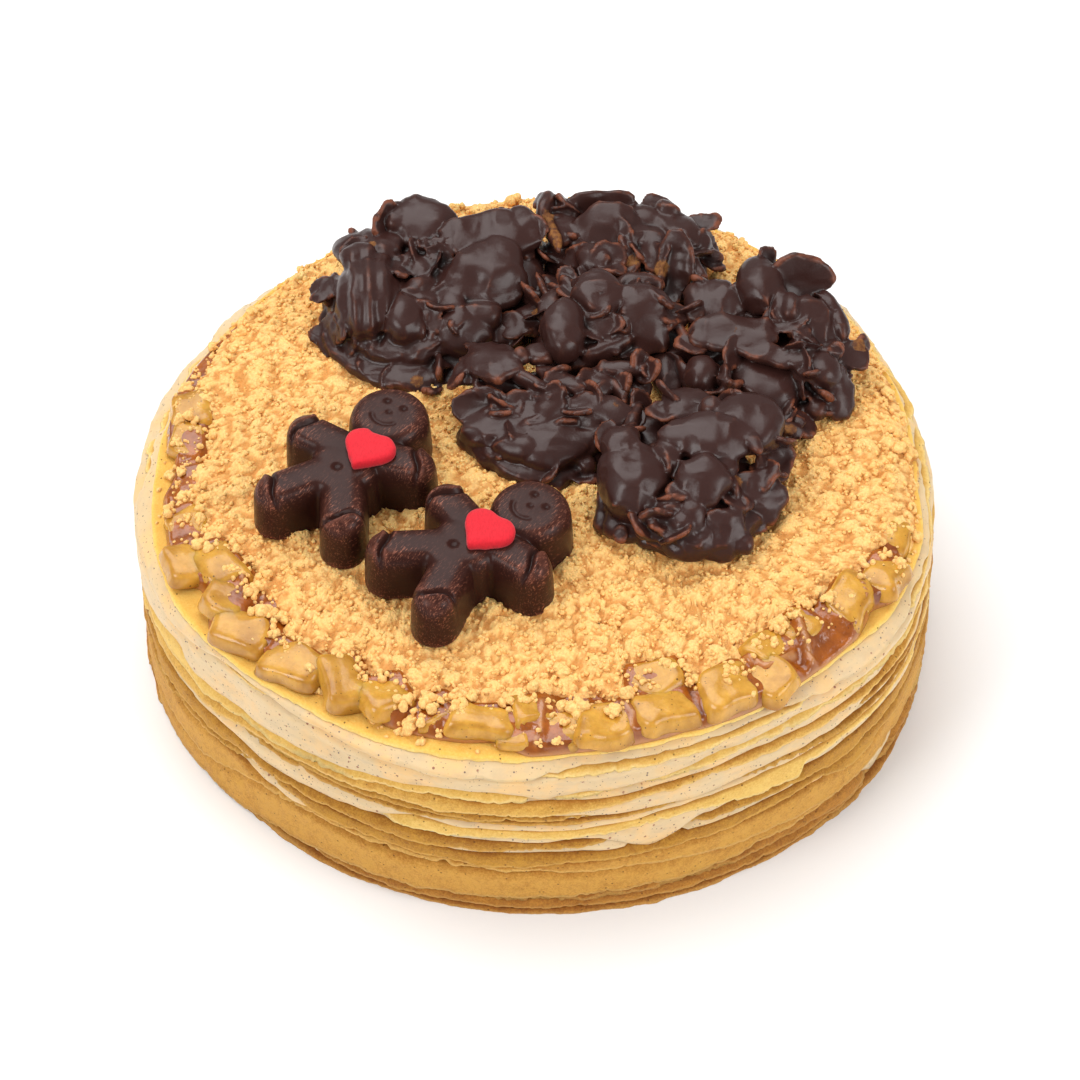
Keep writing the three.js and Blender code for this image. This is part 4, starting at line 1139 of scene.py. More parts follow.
def build_grains(finish):
    """Loose grains and clumps lying over the crumble, along its edge and on the apple."""
    rng = np.random.default_rng(8)
    fine, fine_faces = ball(1)
    angle = rng.uniform(-math.pi, math.pi, FINE_GRAINS)
    edge = along(CRUMBLE_EDGE, np.degrees(angle))
    strayed = rng.random(FINE_GRAINS) < 0.1
    past_edge = edge + rng.exponential(1.6, FINE_GRAINS)
    within = edge * np.sqrt(rng.random(FINE_GRAINS))
    reach = np.where(strayed, past_edge, within)
    size = 0.3 + 0.42 * rng.random(FINE_GRAINS) ** 1.6
    table = np.stack([reach * np.cos(angle), reach * np.sin(angle), size, 0 * size], 1)
    strew("crumble_grains", fine, fine_faces, on_crumble(table, 0.2), finish, 31)
    lumps = list(LOOSE_CLUMPS)
    for azimuth in rng.uniform(-180, 180, STRAY_CLUMPS):
        out = float(along(CRUMBLE_EDGE, azimuth)) + rng.uniform(-6, 1.2)
        turn = math.radians(azimuth)
        lumps.append((out * math.cos(turn), out * math.sin(turn), rng.uniform(0.9, 2.0)))
    beads = []
    for x, y, size in lumps:
        for _ in range(round(1 + 3.2 * size)):
            dx, dy, dz = rng.normal(0, 0.34 * size, 3)
            beads.append((x + dx, y + dy, size * rng.uniform(0.34, 0.6), 0.5 * abs(dz) + 0.12 * size))
    big, big_faces = ball(2)
    strew("crumble_clumps", big, big_faces, on_crumble(np.array(beads), 0.35), finish, 33)


# ---- forms melted together ----

KEPT_SHARE = 0.42  # of a melted skin's triangles


def modified(name, mesh, steps):
    """The mesh that a row of modifiers, each with its settings, makes of a mesh, which is used up."""
    work = bpy.data.objects.new(name, mesh)
    bpy.context.scene.collection.objects.link(work)
    for kind, settings in steps:
        modifier = work.modifiers.new(kind.lower(), kind)
        for key, value in settings.items():
            setattr(modifier, key, value)
    graph = bpy.context.evaluated_depsgraph_get()
    result = bpy.data.meshes.new_from_object(work.evaluated_get(graph))
    bpy.data.objects.remove(work)
    bpy.data.meshes.remove(mesh)
    return result


def melted(name, points, faces, voxel, smoothing):
    """Joins overlapping closed forms into one skin and softens it; returns a mesh in millimetres."""
    mesh = make_mesh(name, points, faces)
    mesh.transform(Matrix.Scale(1000, 4))
    join = ("REMESH", {"mode": "VOXEL", "voxel_size": voxel})
    return modified(name, mesh, (join, ("SMOOTH", {"factor": 0.5, "iterations": smoothing})))


def thinned(mesh, share):
    """The same skin and its attributes with about `share` of its triangles."""
    return modified("thinned", mesh, (("DECIMATE", {"ratio": share}),))


def read_vectors(mesh, kind):
    """The points ("co") or the normals ("normal") of a mesh."""
    values = np.empty(len(mesh.vertices) * 3, np.float32)
    mesh.vertices.foreach_get(kind, values)
    return values.reshape(-1, 3).astype(float)


def write_points(mesh, points):
    mesh.vertices.foreach_set("co", points.astype(np.float32).ravel())
    mesh.update()


def neighbour_mean(mesh, values, rounds):
    """Values at each vertex, averaged over its neighbours some rounds long."""
    edges = np.empty(len(mesh.edges) * 2, np.int32)
    mesh.edges.foreach_get("vertices", edges)
    first, second = edges[0::2], edges[1::2]
    count = len(mesh.vertices)
    degree = np.bincount(first, minlength=count) + np.bincount(second, minlength=count) + 1.0
    for _ in range(rounds):
        columns = []
        for column in values.T if values.ndim > 1 else [values]:
            total = column + np.bincount(first, column[second], count)
            total = total + np.bincount(second, column[first], count)
            columns.append(total / degree)
        values = np.stack(columns, 1) if values.ndim > 1 else columns[0]
    return values


def crest_of(mesh, rounds, scale):
    """How far each point of a skin stands out from its surroundings: -1 a hollow, 0 flat, 1 a crest."""
    points, normals = read_vectors(mesh, "co"), read_vectors(mesh, "normal")
    away = ((points - neighbour_mean(mesh, points, rounds)) * normals).sum(1)
    return np.clip(away / scale, -1, 1)


def finish_skin(mesh, crest, deep, bare):
    """Gives a skin what its finish reads, and brings it from millimetres to metres."""
    for name, values in (("crest", crest), ("deep", deep), ("bare", bare)):
        mesh.attributes.new(name, "FLOAT", "POINT").data.foreach_set("value", values.astype(np.float32))
    mesh.transform(Matrix.Scale(MM, 4))
    mesh.shade_smooth()


# ---- figures and hearts ----

FIGURE_FOOT = 54.2
FIGURE_HEIGHT = 12.4
FIGURE_VOXEL = 0.36
FIGURE_SMOOTHING = 14
HEAD = (18.9, 0.0, 8.6)
LIMBS = (
    ((6.5, 0.0), (6.4, 12.3), 4.7),
    ((6.5, 0.0), (10.6, -12.1), 4.7),
    ((1.0, 0.8), (-11.0, 8.1), 4.7),
    ((1.0, -0.8), (-10.1, -8.3), 4.7),
)
JOINT = 4.2
FIGURES = (
    ("left", (-42.7, -22.7), 57, (6.6, -3.2), 3),
    ("right", (-17.8, -44.4), 34, (7.0, -1.6), 16),
)
MOULD = (
    # millimetres added to a bar's radius, and the height where they are
    (0.62, 0.0), (0.45, 4.0), (0.3, 7.0), (0.12, 9.2), (-0.25, 10.7), (-0.9, 11.75), (-1.8, 12.35),
    (-2.8, 12.55), (-4.0, 12.6),
)
TORSO = (((-1.6, 0.0), (7.6, 0.0), 5.4), ((2.5, -2.5), (2.5, 2.5), 5.3))
HEART_SIZE = 6.9
HEART_THICKNESS = 2.6
HEART_SEGMENTS = 96
HEART_PROFILE = (
    # share of the outline and of the thickness, from the top round the side to the underside
    (0.3, 1.0), (0.62, 0.99), (0.82, 0.96), (0.92, 0.88), (0.975, 0.72), (1.0, 0.5), (0.995, 0.25),
    (0.97, 0.06), (0.93, 0.0), (0.5, 0.0),
)


def moulded_bar(start, end, radius, segments=48):
    """A round-ended bar of the mould, wider at its foot, as rings of points."""
    start, end = np.array(start), np.array(end)
    direction = end - start
    length = np.linalg.norm(direction)
    along_bar = direction / length if length > 0 else np.array([1.0, 0.0])
    across = np.array([-along_bar[1], along_bar[0]])
    angles = 2 * math.pi * np.arange(segments) / segments
    middle = np.where(np.cos(angles)[:, None] >= 0, end, start)
    outward = np.cos(angles)[:, None] * along_bar + np.sin(angles)[:, None] * across
    points = []
    for grow, height in MOULD:
        ring = middle + outward * (radius + grow)
        points.append(np.concatenate([ring, np.full((segments, 1), height)], 1))
    table = np.stack(points[::-1], 1)
    centre = (start + end) / 2
    flat = np.concatenate([[[*centre, MOULD[-1][1]]], table.reshape(-1, 3), [[*centre, 0.0]]])
    return flat, turned_faces(segments, len(MOULD))


def joined(parts):
    """Points and faces of several forms as one list."""
    points, faces, count = [], [], 0
    for form_points, form_faces in parts:
        points.append(form_points)
        faces.append(form_faces + count)
        count += len(form_points)
    return np.concatenate(points), np.concatenate(faces)


def near_curve(x, y, curve):
    """How far points lie from a bent line of points."""
    best = np.full(x.shape, FAR_AWAY)
    for (ax, ay), (bx, by) in zip(curve[:-1], curve[1:]):
        dx, dy = bx - ax, by - ay
        t = np.clip(((x - ax) * dx + (y - ay) * dy) / (dx * dx + dy * dy), 0, 1)
        best = np.minimum(best, np.hypot(x - ax - t * dx, y - ay - t * dy))
    return best


def joint_curve(limb, number):
    """The wavy line across a wrist or an ankle, and how far beyond it along the limb points lie."""
    (sx, sy), (ex, ey), radius = limb
    length = math.hypot(ex - sx, ey - sy)
    ux, uy = (ex - sx) / length, (ey - sy) / length
    side = -1 if number % 2 else 1
    line = []
    for step in range(13):
        across = (step / 6 - 1) * (radius + 1.6)
        wave = 1.1 * side * math.sin(across / radius * 2.6)
        along_limb = length + radius - JOINT + wave
        line.append((sx + ux * along_limb - uy * across, sy + uy * along_limb + ux * across))

    def beyond(x, y):
        return (x - sx) * ux + (y - sy) * uy - (length + radius - JOINT)

    return line, beyond


def arc(middle, radius, start, end, steps):
    """Points along part of a circle, between two azimuths."""
    angles = [math.radians(start + (end - start) * k / steps) for k in range(steps + 1)]
    return [(middle[0] + radius * math.cos(a), middle[1] + radius * math.sin(a)) for a in angles]


def carve_figure(points):
    """Presses the joints, face and belly dot into the figure's upper side."""
    x, y, z = points.T
    drop = np.zeros(len(points))
    wall = np.clip((z - 2.5) / 5.5, 0, 1)
    for number, limb in enumerate(LIMBS):
        line, beyond = joint_curve(limb, number)
        away = near_curve(x, y, line)
        drop += 1.0 * np.exp(-((away / 0.5) ** 2)) * wall
        bead = np.exp(-(((away - 1.2) / 0.55) ** 2)) * ease(beyond(x, y), -0.6, 0.6)
        drop -= 0.6 * bead * wall
    top = ease(z, FIGURE_HEIGHT - 2.2, FIGURE_HEIGHT - 1.0)
    face = arc((HEAD[0] - 0.3, 0.0), 3.4, 125, 235, 14)
    drop += 0.42 * top * np.exp(-((near_curve(x, y, face) / 0.42) ** 2))
    for ex, ey in ((HEAD[0] + 2.6, 2.1), (HEAD[0] + 2.6, -2.1)):
        drop += 0.5 * top * np.exp(-((np.hypot(x - ex, y - ey) / 0.75) ** 4))
    drop += 0.4 * top * np.exp(-((np.hypot(x - HEAD[0] - 0.1, y) / 0.6) ** 4))
    drop += 0.5 * top * np.exp(-((np.hypot(x, y) / 1.05) ** 6))
    return drop


def heart_form():
    """A plump heart, square at its point, which lies along -X, as points and faces."""
    half = HEART_SEGMENTS // 8
    side = np.linspace(0, 1, 2 * half, endpoint=False)
    turn = np.radians(np.linspace(-90, 90, 2 * half, endpoint=False))
    edge = np.stack([side, 0 * side], 1)
    lobe = np.stack([1 + 0.5 * np.cos(turn), 0.5 + 0.5 * np.sin(turn)], 1)
    one = np.concatenate([edge, lobe])
    outline = np.concatenate([one, one[::-1, ::-1]]) - 0.62
    for _ in range(10):
        outline = 0.5 * outline + 0.25 * (np.roll(outline, 1, 0) + np.roll(outline, -1, 0))
    count = len(outline)
    outline = turned_about(np.concatenate([outline, np.zeros((count, 1))], 1), -45)[:, :2]
    table = np.stack([
        np.concatenate([outline * HEART_SIZE * share, np.full((count, 1), HEART_THICKNESS * level)], 1)
        for share, level in HEART_PROFILE
    ], 1)
    flat = np.concatenate([[[0, 0, HEART_THICKNESS]], table.reshape(-1, 3), [[0, 0, 0]]])
    return flat, turned_faces(count, len(HEART_PROFILE))


def build_figures(settings):
    """Two moulded figures, melted together from bars, each with its heart."""
    colours = srgb(51, 26, 21), srgb(96, 54, 42), srgb(176, 112, 90)
    finish = chocolate_finish("moulded chocolate", *colours, 0.85, 0.13)
    red = heart_finish("sugar heart", settings.heart, srgb(188, 16, 34))
    forms = [moulded_bar(start, end, radius - 0.1) for start, end, radius in (*LIMBS, *TORSO)]
    forms.append(moulded_bar(HEAD[:2], HEAD[:2], HEAD[2] - 0.1, 72))
    points, faces = joined(forms)
    for name, (x, y), turn, (hx, hy), heart_turn in FIGURES:
        mesh = melted("gingerbread", points, faces, FIGURE_VOXEL, FIGURE_SMOOTHING)
        skin = read_vectors(mesh, "co")
        skin[:, 2] -= carve_figure(skin)
        write_points(mesh, skin)
        # The crest gives the rubbed rims and copper shimmer on raised parts, and painted shade in the
        # hollows; the figures get no deep attribute.
        crest = crest_of(mesh, 45, 0.7)
        skin = turned_about(skin, turn) + [x, y, FIGURE_FOOT]
        write_points(mesh, skin)
        finish_skin(mesh, crest, 0 * crest, 0 * crest)
        mesh = thinned(mesh, KEPT_SHARE)
        add_piece(f"gingerbread_{name}_dressed", mesh, finish, "chocolate", f"gingerbread_{name}")
        heart, heart_faces = heart_form()
        heart = turned_about(heart, heart_turn) + [hx, hy, FIGURE_HEIGHT - 0.05]
        heart = turned_about(heart, turn) + [x, y, FIGURE_FOOT]
        heart = heart + 0.1 * smooth_noise(heart, 1.6, 9)[:, None]
        mesh = make_mesh("heart", heart, heart_faces)
        add_piece(f"heart_{name}_dressed", mesh, red, "sugar_heart", f"heart_{name}")


# ---- flake clusters ----

# The forms that melt into each cluster: middle x, y, z; half sizes along, across and through.
# A form that lies flat and even may add its spin in its own plane. Any other form adds how far it
# leans from lying flat, the azimuth it leans to, its spin, and how far its rim rises (or falls,
# below 0) to make a cup.
CLUSTERS = {
    "back_left": (
        (-27, 35, 59.5, 17, 15, 6.5), (-13, 38, 60, 8, 12, 5.5), (-38, 32.5, 61.5, 7.4, 12.3, 9.2),
        (-30, 25.2, 61.3, 4.9, 6.6, 6.2), (-30, 21.4, 60, 7.2, 5.2, 1.0, 50, -90, 90, -1.5),
        (-26.8, 33.2, 64.6, 2.4, 5.4, 2.6, -48), (-24.2, 27.6, 63.6, 1.5, 4.4, 2.3, -14),
        (-26.6, 24.4, 62.4, 1.0, 4.6, 2.4, 6), (-45.4, 31, 60, 11, 6.4, 1.0, 70, 188, 90, 0.8),
        (-47.4, 35.6, 60.6, 1.5, 3.0, 2.4), (-44.6, 24.5, 58.6, 6.5, 4.2, 0.9, 62, 210, 90, 0.8),
        (-38.5, 46.2, 64.8, 8.8, 6.2, 2.2, 20, 150, 0, -0.6), (-32.6, 53.2, 67.2, 3.2, 4.2, 3.0),
        (-26.6, 52, 67.2, 7.2, 7.6, 2.7, 10, -100, 0, -0.8),
        (-11.5, 47.8, 67.2, 11.5, 6.2, 2.4, 12, -60, 70, 0.6), (-4.6, 51.2, 67.4, 4.4, 4.2, 2.4),
        (-11.6, 35.4, 65.8, 9.2, 9.4, 2.8, 22, -70, 0, -1.2),
        (-18.6, 43.2, 67.8, 3.2, 1.6, 0.7, 30, -60, 35, 0.4), (-29.4, 41, 66.8, 1.2, 3.2, 1.0, -25),
        (-24.3, 42.2, 67, 1.2, 3.4, 1.1, 12), (-27, 38.4, 65.2, 3.6, 4.2, 2.4),
        (-17, 22.8, 61, 5.6, 6.2, 3.8, 35, -75, 0, 0), (-19.6, 30, 63.6, 3.6, 5.2, 3.0, 15),
        (-14, 27, 62.6, 5.2, 4.2, 3.0), (-17.8, 23.4, 64.9, 2.8, 1.3, 0.7, 15, -120, 20, 0.4),
        (-34.5, 17.4, 56.4, 7.2, 5.0, 1.4, 14, -110, 70, 1.6), (-27.4, 13.6, 56.2, 6.2, 2.6, 1.8, -6),
        (-22.2, 14.6, 58.6, 1.1, 3.4, 2.6), (-20.6, 36.6, 64.6, 3.0, 4.6, 2.2, -20),
        (-40.5, 39.5, 67.4, 4.0, 4.6, 2.6, 20), (-4.5, 42, 59.2, 6, 10, 4.2), (-9, 26, 58, 7, 5, 3.4),
    ),
    "back": (
        (13, 49.5, 59.5, 12, 9, 5.5), (28, 47.5, 59.5, 8, 9, 5),
        (14.5, 50.2, 66.2, 8.4, 6.8, 1.2, 36, -90, 90, -0.8),
        (12.6, 58.2, 66, 10.6, 4.2, 1.3, 62, -84, 90, 0.6), (1, 57.2, 66.8, 1.7, 4.6, 2.4, -12),
        (5, 52.8, 65.2, 3.4, 7, 1.8, -10), (3, 48.6, 67, 1.1, 6.4, 1.2, 12),
        (12.4, 42, 65.4, 4, 4.2, 2.8), (13.8, 40.2, 66.8, 1.6, 2.2, 1.4),
        (17.6, 40.3, 63.2, 1.5, 1.8, 1.5), (19.6, 43.6, 63.6, 4.2, 1.9, 1.8, 5),
        (25.4, 47.6, 65, 3.2, 7, 2.2), (23.2, 55.2, 66, 4.6, 3, 1.9, -25),
        (31.6, 53.2, 65.2, 5, 8.6, 1.6, 30, 43, 0, -1.2), (36.4, 48.6, 63.4, 2, 2.8, 2.0),
        (37, 47.2, 61.4, 4.6, 2.2, 1.4, -16), (30, 39.6, 64.8, 4.2, 7.8, 1.3, 46, -100, 90, 1.4),
        (27.6, 40.4, 63.8, 1.2, 7.4, 2.0, -12), (34.2, 42.4, 63.6, 1.4, 6.6, 3.0, 22),
        (4.4, 44.8, 61.8, 6.4, 1.2, 1.4, -30), (29, 57, 66.6, 2.2, 3.2, 1.6, 40),
        (21, 51, 65.6, 3.4, 4.4, 2.0),
    ),
    "middle": (
        (13, 22.5, 60.5, 12, 8.5, 6), (5, 17, 67.3, 4.8, 7.6, 5.1), (12.6, 27, 69.2, 5.4, 6.2, 3.2),
        (12.6, 21.6, 65.8, 4.8, 5, 2.6), (13.6, 16.6, 66, 4.8, 0.9, 1.1, 8),
        (14.6, 14.6, 64.2, 6, 1.4, 2.4, 24), (13.6, 16.4, 60.6, 6, 4, 3.6),
        (13, 19.4, 67.8, 3.2, 3.2, 0.8, 32, -100, 0, 0.4),
        (22.2, 21.4, 66.6, 6, 7.8, 1.8, 38, -90, 90, -1.6),
        (17.4, 23.8, 66.2, 2.4, 5.8, 1.5, 32, 180, 0, 0), (22, 26, 68.6, 5.6, 3.8, 2.4),
        (21, 33.4, 65.4, 5.6, 2.2, 2.4), (27, 24.6, 65.6, 3.2, 0.9, 0.8, -8),
        (31, 20.4, 63.8, 0.9, 6.2, 1.0, 22), (26.4, 20, 64.6, 1.4, 2.2, 0.7, 20, -60, 0, 0.3),
        (6.8, 31.6, 66.4, 1.2, 3.6, 1.4, 30), (2, 27.5, 64.4, 2.4, 5.6, 1.6, 20, 160, 0, 0),
        (-1.6, 27.4, 60.8, 4.6, 3.6, 2.6), (0.6, 32.4, 62.8, 4.4, 0.9, 0.9, -8),
        (-4, 24.4, 61, 4.2, 0.9, 1.2, -24), (8.6, 14.4, 61.8, 4, 3, 3), (29, 18, 57.4, 5, 10, 3.2),
        (4, 36, 58.4, 9, 5, 3.8),
    ),
    "centre": (
        (-1, 1, 57.4, 14, 9, 3.2), (12, 0, 57.4, 8, 8, 3.0),
        (-3, -1, 61.6, 5.6, 3.8, 0.9, 32, -95, 90, 1.0),
        (3.4, 1.2, 62.4, 5.2, 3.2, 0.8, 38, -65, 70, 0.9),
        (-8, -3.4, 60.0, 4.8, 3.4, 0.8, 42, -115, 80, 1.0),
        (8.2, -2, 61.6, 4.8, 3.2, 0.8, 44, -85, 100, 0.9),
        (0.4, -6.4, 60.2, 4.4, 3.0, 0.8, 48, -92, 90, 0.9),
        (-10.6, 10.6, 64.6, 8.2, 5.2, 1.5, 14, 120, 0, -0.8),
        (-8.6, 5.4, 61.6, 7, 5.4, 1.5, 20, -60, 0, 1.2),
        (-11.6, 0.4, 60.4, 7.6, 4.6, 1.2, 34, -100, 90, 1.6), (-1.8, 3.4, 64.6, 7.6, 1.2, 2.0, -36),
        (4.6, 4.6, 64.6, 6.2, 2.2, 1.3, -34), (-4, 10.4, 66.2, 1.5, 1.8, 1.5),
        (0.2, 12, 65.4, 3.4, 3.0, 2.0), (2.2, -3.6, 62, 3.3, 5.8, 1.2, 42, -95, 90, -0.6),
        (-4.2, -2.4, 59.8, 3.3, 4.2, 1.4, 40, -100, 90, -0.6), (-4.2, -10.8, 59.2, 5.6, 3.4, 3.2, -8),
        (9.6, -5.4, 60.6, 4.2, 6.8, 1.6, 36, -90, 90, 0.6), (5, -11, 58.6, 2.8, 1.7, 2.2),
        (14, -3.2, 63.2, 3.6, 6.6, 1.5, 20, -110, 0, -0.5), (12.6, 5.8, 62.6, 3, 4.2, 1.5),
        (15.6, -5.8, 61.2, 1.2, 4.8, 1.6, -28), (3, -13, 57, 2.3, 2, 1.9), (9.6, -13.2, 57, 2, 2, 1.8),
        (-1.6, -14, 56.4, 4.4, 2, 1.7, -4), (-12, -4.8, 57.4, 3, 6.2, 1.8, 32),
        (18, 8.8, 63.6, 5.8, 1.7, 1.3, -4), (19.6, 4.6, 60, 5, 4.4, 1.5, 0, 0, 0, 0.8),
        (16.4, 4.2, 61.6, 0.9, 4.6, 2.2, 28), (-15.8, 8.4, 62.6, 3, 3.6, 1.8), (7.4, 1.4, 61, 3, 3, 2.2),
        (8, 10, 57.6, 13, 4, 3.2),
    ),
    "right": (
        (44, 24, 59, 12, 9, 4.6), (61, 17, 58.8, 6.5, 12, 4.4), (48.6, 32.4, 66.8, 5.1, 7.7, 4.4),
        (57.2, 33.4, 66.4, 7.4, 5.8, 1.2, 50, -78, 90, 2.0), (63.6, 28.4, 64.8, 1.8, 3.6, 2.6, 20),
        (55, 24.6, 66.2, 2.4, 4.3, 3.8), (60, 22.2, 65, 5.9, 6.6, 1.7, 34, -62, 0, -1.2),
        (65.8, 24.2, 62.8, 1.9, 5.4, 3.6, 10), (67.4, 16.4, 60.8, 5.4, 4.2, 1.1, 15, -20, 0, 0.7),
        (65, 6.4, 59.6, 4.4, 7.2, 1.3, 32, -70, 90, -1.0), (61.4, 9.2, 62.4, 3.6, 4.1, 3.9),
        (38.6, 29.2, 65, 5.9, 6.6, 1.7, 16, -110, 0, -0.5), (34.2, 24.8, 64.8, 2.2, 2.3, 1.4),
        (43, 18.8, 65.4, 10, 4.6, 1.7, 10, -90, 90, -0.5), (36.4, 17.6, 64.4, 3.8, 2.4, 1.5, 10),
        (49.6, 12.4, 64.6, 8.6, 2.5, 1.2, 8, -100, 80, 0.3), (56.2, 11, 65.2, 2.6, 3.2, 1.2, -30),
        (56.2, 8.8, 60.4, 0.9, 5.4, 3.0, 12), (46.6, 6, 59.4, 0.8, 8.4, 1.4, 28),
        (53.8, 3.4, 57.8, 1.8, 4.2, 1.5, -18), (52.8, 0.2, 56.8, 5.2, 1.5, 1.1, -14),
        (40.2, 7.4, 60.8, 1.0, 3.6, 5.0), (35.2, 8.8, 60.6, 3.4, 4.4, 4.8),
        (31.2, 11.6, 60.4, 1.0, 5.0, 2.2, 20), (53, 26.6, 65.8, 2.4, 5.6, 3.0),
        (57, 16.8, 64.8, 0.8, 2.8, 1.3, -30), (61, 14.2, 63.6, 4.8, 0.9, 0.9, -8),
        (57.8, 6.8, 58.8, 2.0, 1.6, 1.8), (48, 8, 55.4, 8, 7, 1.6), (60.2, 3.6, 57.6, 2.2, 3.6, 2.0),
    ),
    "front": (
        (32, -22, 59.4, 14, 12, 4.8), (34.6, -15.6, 68.6, 9.6, 6.2, 2.1, 12, -90, 90, -0.8),
        (27.2, -19.2, 66.6, 3.2, 4.6, 2.5, 20), (34, -26.6, 66.2, 5.6, 6, 3.4, 30, -90, 90, 0),
        (31.8, -32.4, 63, 2.8, 4.6, 2.3, 30, -90, 90, 0), (19.6, -23.6, 62.8, 7.3, 9.8, 6.9),
        (17.2, -16.6, 66.8, 4.5, 4.6, 3.1), (32, -4.4, 66, 6.1, 5.1, 1.4, 5, -90, 90, -0.6),
        (44, -10.6, 67, 7.5, 7.5, 3.6), (43.6, -15.6, 69, 1.5, 6.6, 1.2, 24),
        (45.6, -4.6, 65.6, 3.6, 2.6, 1.0, 20, 60, 0, 0), (53, -5.4, 59.8, 3.3, 2, 1.4, -10),
        (50, -17, 61.8, 4.3, 5.6, 1.1, 30, -20, 0, 1.8), (48.6, -15, 65.2, 3.2, 1.2, 0.9, 15),
        (45.6, -26.8, 61, 5.9, 6, 1.1, 44, -80, 90, -0.5), (40.6, -25.6, 61.6, 1.1, 3.6, 4.0, 10),
        (27, -31.4, 62.6, 3.1, 3.1, 3.1), (30, -34, 60.6, 3.6, 4, 3.6),
        (28.4, -36.4, 57.8, 3, 4, 2.1, 30), (23, -35.4, 60, 3.3, 1.9, 1.0, 30, -100, 90, 0.3),
        (38, -35.4, 59.4, 4.9, 6.4, 1.9, 48, -90, 90, -0.8), (42.4, -36.6, 57.6, 2, 2.4, 1.8),
        (18.6, -28.6, 57, 5.4, 6.4, 2.6), (19.9, -5.6, 62.6, 1.1, 5.2, 1.7, -18),
        (23.4, -8.6, 59.8, 4.4, 6, 2.8), (36.6, -7, 67.6, 2.4, 2.6, 2.2),
        (48, -20.6, 63, 2.6, 2.2, 1.2, -30), (37.4, -20.6, 66, 4.6, 4.4, 2.2),
    ),
}
CLUSTER_FOOT = 54.2
FOOTINGS = ((55.6, 0.94, 3.0), (57.5, 0.8, 5.0))  # height, share of the cluster's box, half thickness
CLUSTER_VOXEL = 0.42
CLUSTER_SMOOTHING = 1
SHARDS = 56
RIBBED = (-38, 32.5, 61.5)
RIBBED_SIZE = (7.4, 12.3, 9.2)
BARE_SPOTS = (
    # middle and radius of places where the cereal shows through the chocolate
    (1.9, 53.2, 68.4, 1.8), (2.6, 50.4, 68.4, 1.8), (3.4, 47.4, 68.2, 1.8), (4.1, 44.6, 68.0, 1.8),
    (17.6, 40.3, 64.4, 1.6), (20.6, 41.8, 64.4, 2.2), (13.0, 55.6, 67.8, 2.6), (29.6, 43.8, 67.2, 2.4),
    (27.2, 38.2, 66.0, 2.4), (16.3, -3.2, 64.6, 1.3), (-38.0, 44.0, 68.2, 1.5), (-27.2, 11.6, 57.2, 1.8),
    (28.6, -26.4, 65.6, 1.4), (42.6, 18.2, 66.2, 1.2), (70.2, 18.2, 61.6, 2.0), (23.0, -34.6, 61.0, 1.3),
    (53.8, -6.2, 61.0, 1.8), (41.2, -25.2, 64.6, 1.6), (-0.6, 26.6, 63.0, 1.8),
)


def in_full(form):
    """A row of CLUSTERS with all its ten values."""
    if len(form) == 10:
        return form
    spin = form[6] if len(form) == 7 else 0
    return (*form[:6], 0, 0, spin, 0)


def lump(base, form, seed):
    """One form of a cluster: a smooth lobe where it is thick, a ragged leaf where it is thin."""
    x, y, z, long, wide, thick, lean, bearing, spin, cup = form
    leaf = thick / min(long, wide) < 0.42
    flat = np.stack([base[:, 0], base[:, 1], 0.3 * base[:, 2]], 1)
    outline = rough_noise(flat, 0.8, seed) + (0.35 * smooth_noise(flat, 0.13, seed + 1) if leaf else 0)
    reach = 1 + (0.17 if leaf else 0.09) * outline
    across = np.hypot(base[:, 0], base[:, 1])
    level = np.sign(base[:, 2]) * np.abs(base[:, 2]) ** (0.6 if leaf else 0.78)
    points = np.stack([base[:, 0] * long * reach, base[:, 1] * wide * reach, level * thick], 1)
    wave = (0.7 if leaf else 0.4) * smooth_noise(points * [1, 1, 0] + 9.0 * seed, 5.0, seed + 5)
    points[:, 2] += cup * (across**2 - 0.4) + wave
    return oriented(points, lean, bearing, spin) + [x, y, z]


def footing(name):
    """Low rounds that fill a cluster from below, out to its box."""
    (x0, y0, _), (x1, y1, _) = [[side / MM for side in corner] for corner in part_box(name)]
    x, y, long, wide = (x0 + x1) / 2, (y0 + y1) / 2, (x1 - x0) / 2, (y1 - y0) / 2
    return [in_full((x, y, z, share * long, share * wide, thick)) for z, share, thick in FOOTINGS]


def shards(forms, count, seed):
    """Small broken flakes caught at the rims of a cluster's forms."""
    rng = np.random.default_rng(seed)
    top = max(form[2] + form[5] for form in forms)
    found = []
    while len(found) < count:
        x, y, z, long, wide, thick, lean, bearing, spin, _ = forms[rng.integers(2, len(forms))]
        a = rng.uniform(0, 2 * math.pi)
        rim = np.array([[math.cos(a) * long, math.sin(a) * wide, rng.uniform(-0.6, 0.6) * thick]])
        spot = (oriented(0.93 * rim, lean, bearing, spin) + [x, y, z])[0]
        size = rng.uniform(1.0, 2.4) if len(found) < 0.35 * count else rng.uniform(2.8, 5.0)
        shape = (size, size * rng.uniform(0.65, 0.95), rng.uniform(0.42, 0.62))
        turns = (rng.uniform(5, 65), rng.uniform(0, 360), rng.uniform(0, 180))
        if spot[2] < top - 2.4:
            found.append((*spot, *shape, *turns, rng.uniform(0.2, 1.0)))
    return found


def oriented(points, lean, bearing, spin):
    """Points spun in their own plane, then leant towards an azimuth."""
    turn = (
        Matrix.Rotation(math.radians(bearing), 3, "Z")
        @ Matrix.Rotation(math.radians(lean), 3, "Y")
        @ Matrix.Rotation(math.radians(spin), 3, "Z")
    )
    return points @ np.array(turn).T


def ribs_over(points):
    """Soft upright ribs that the coating left over the round form on the left."""
    x, y, z = (points - RIBBED).T
    long, wide, thick = RIBBED_SIZE
    near = ease(1.25 - np.sqrt((x / long) ** 2 + (y / wide) ** 2 + (z / thick) ** 2), 0.0, 0.2)
    return near * 0.3 * np.cos(2 * math.pi * (x + 0.06 * y) / 3.4 + 0.8 * smooth_noise(points, 6, 5))


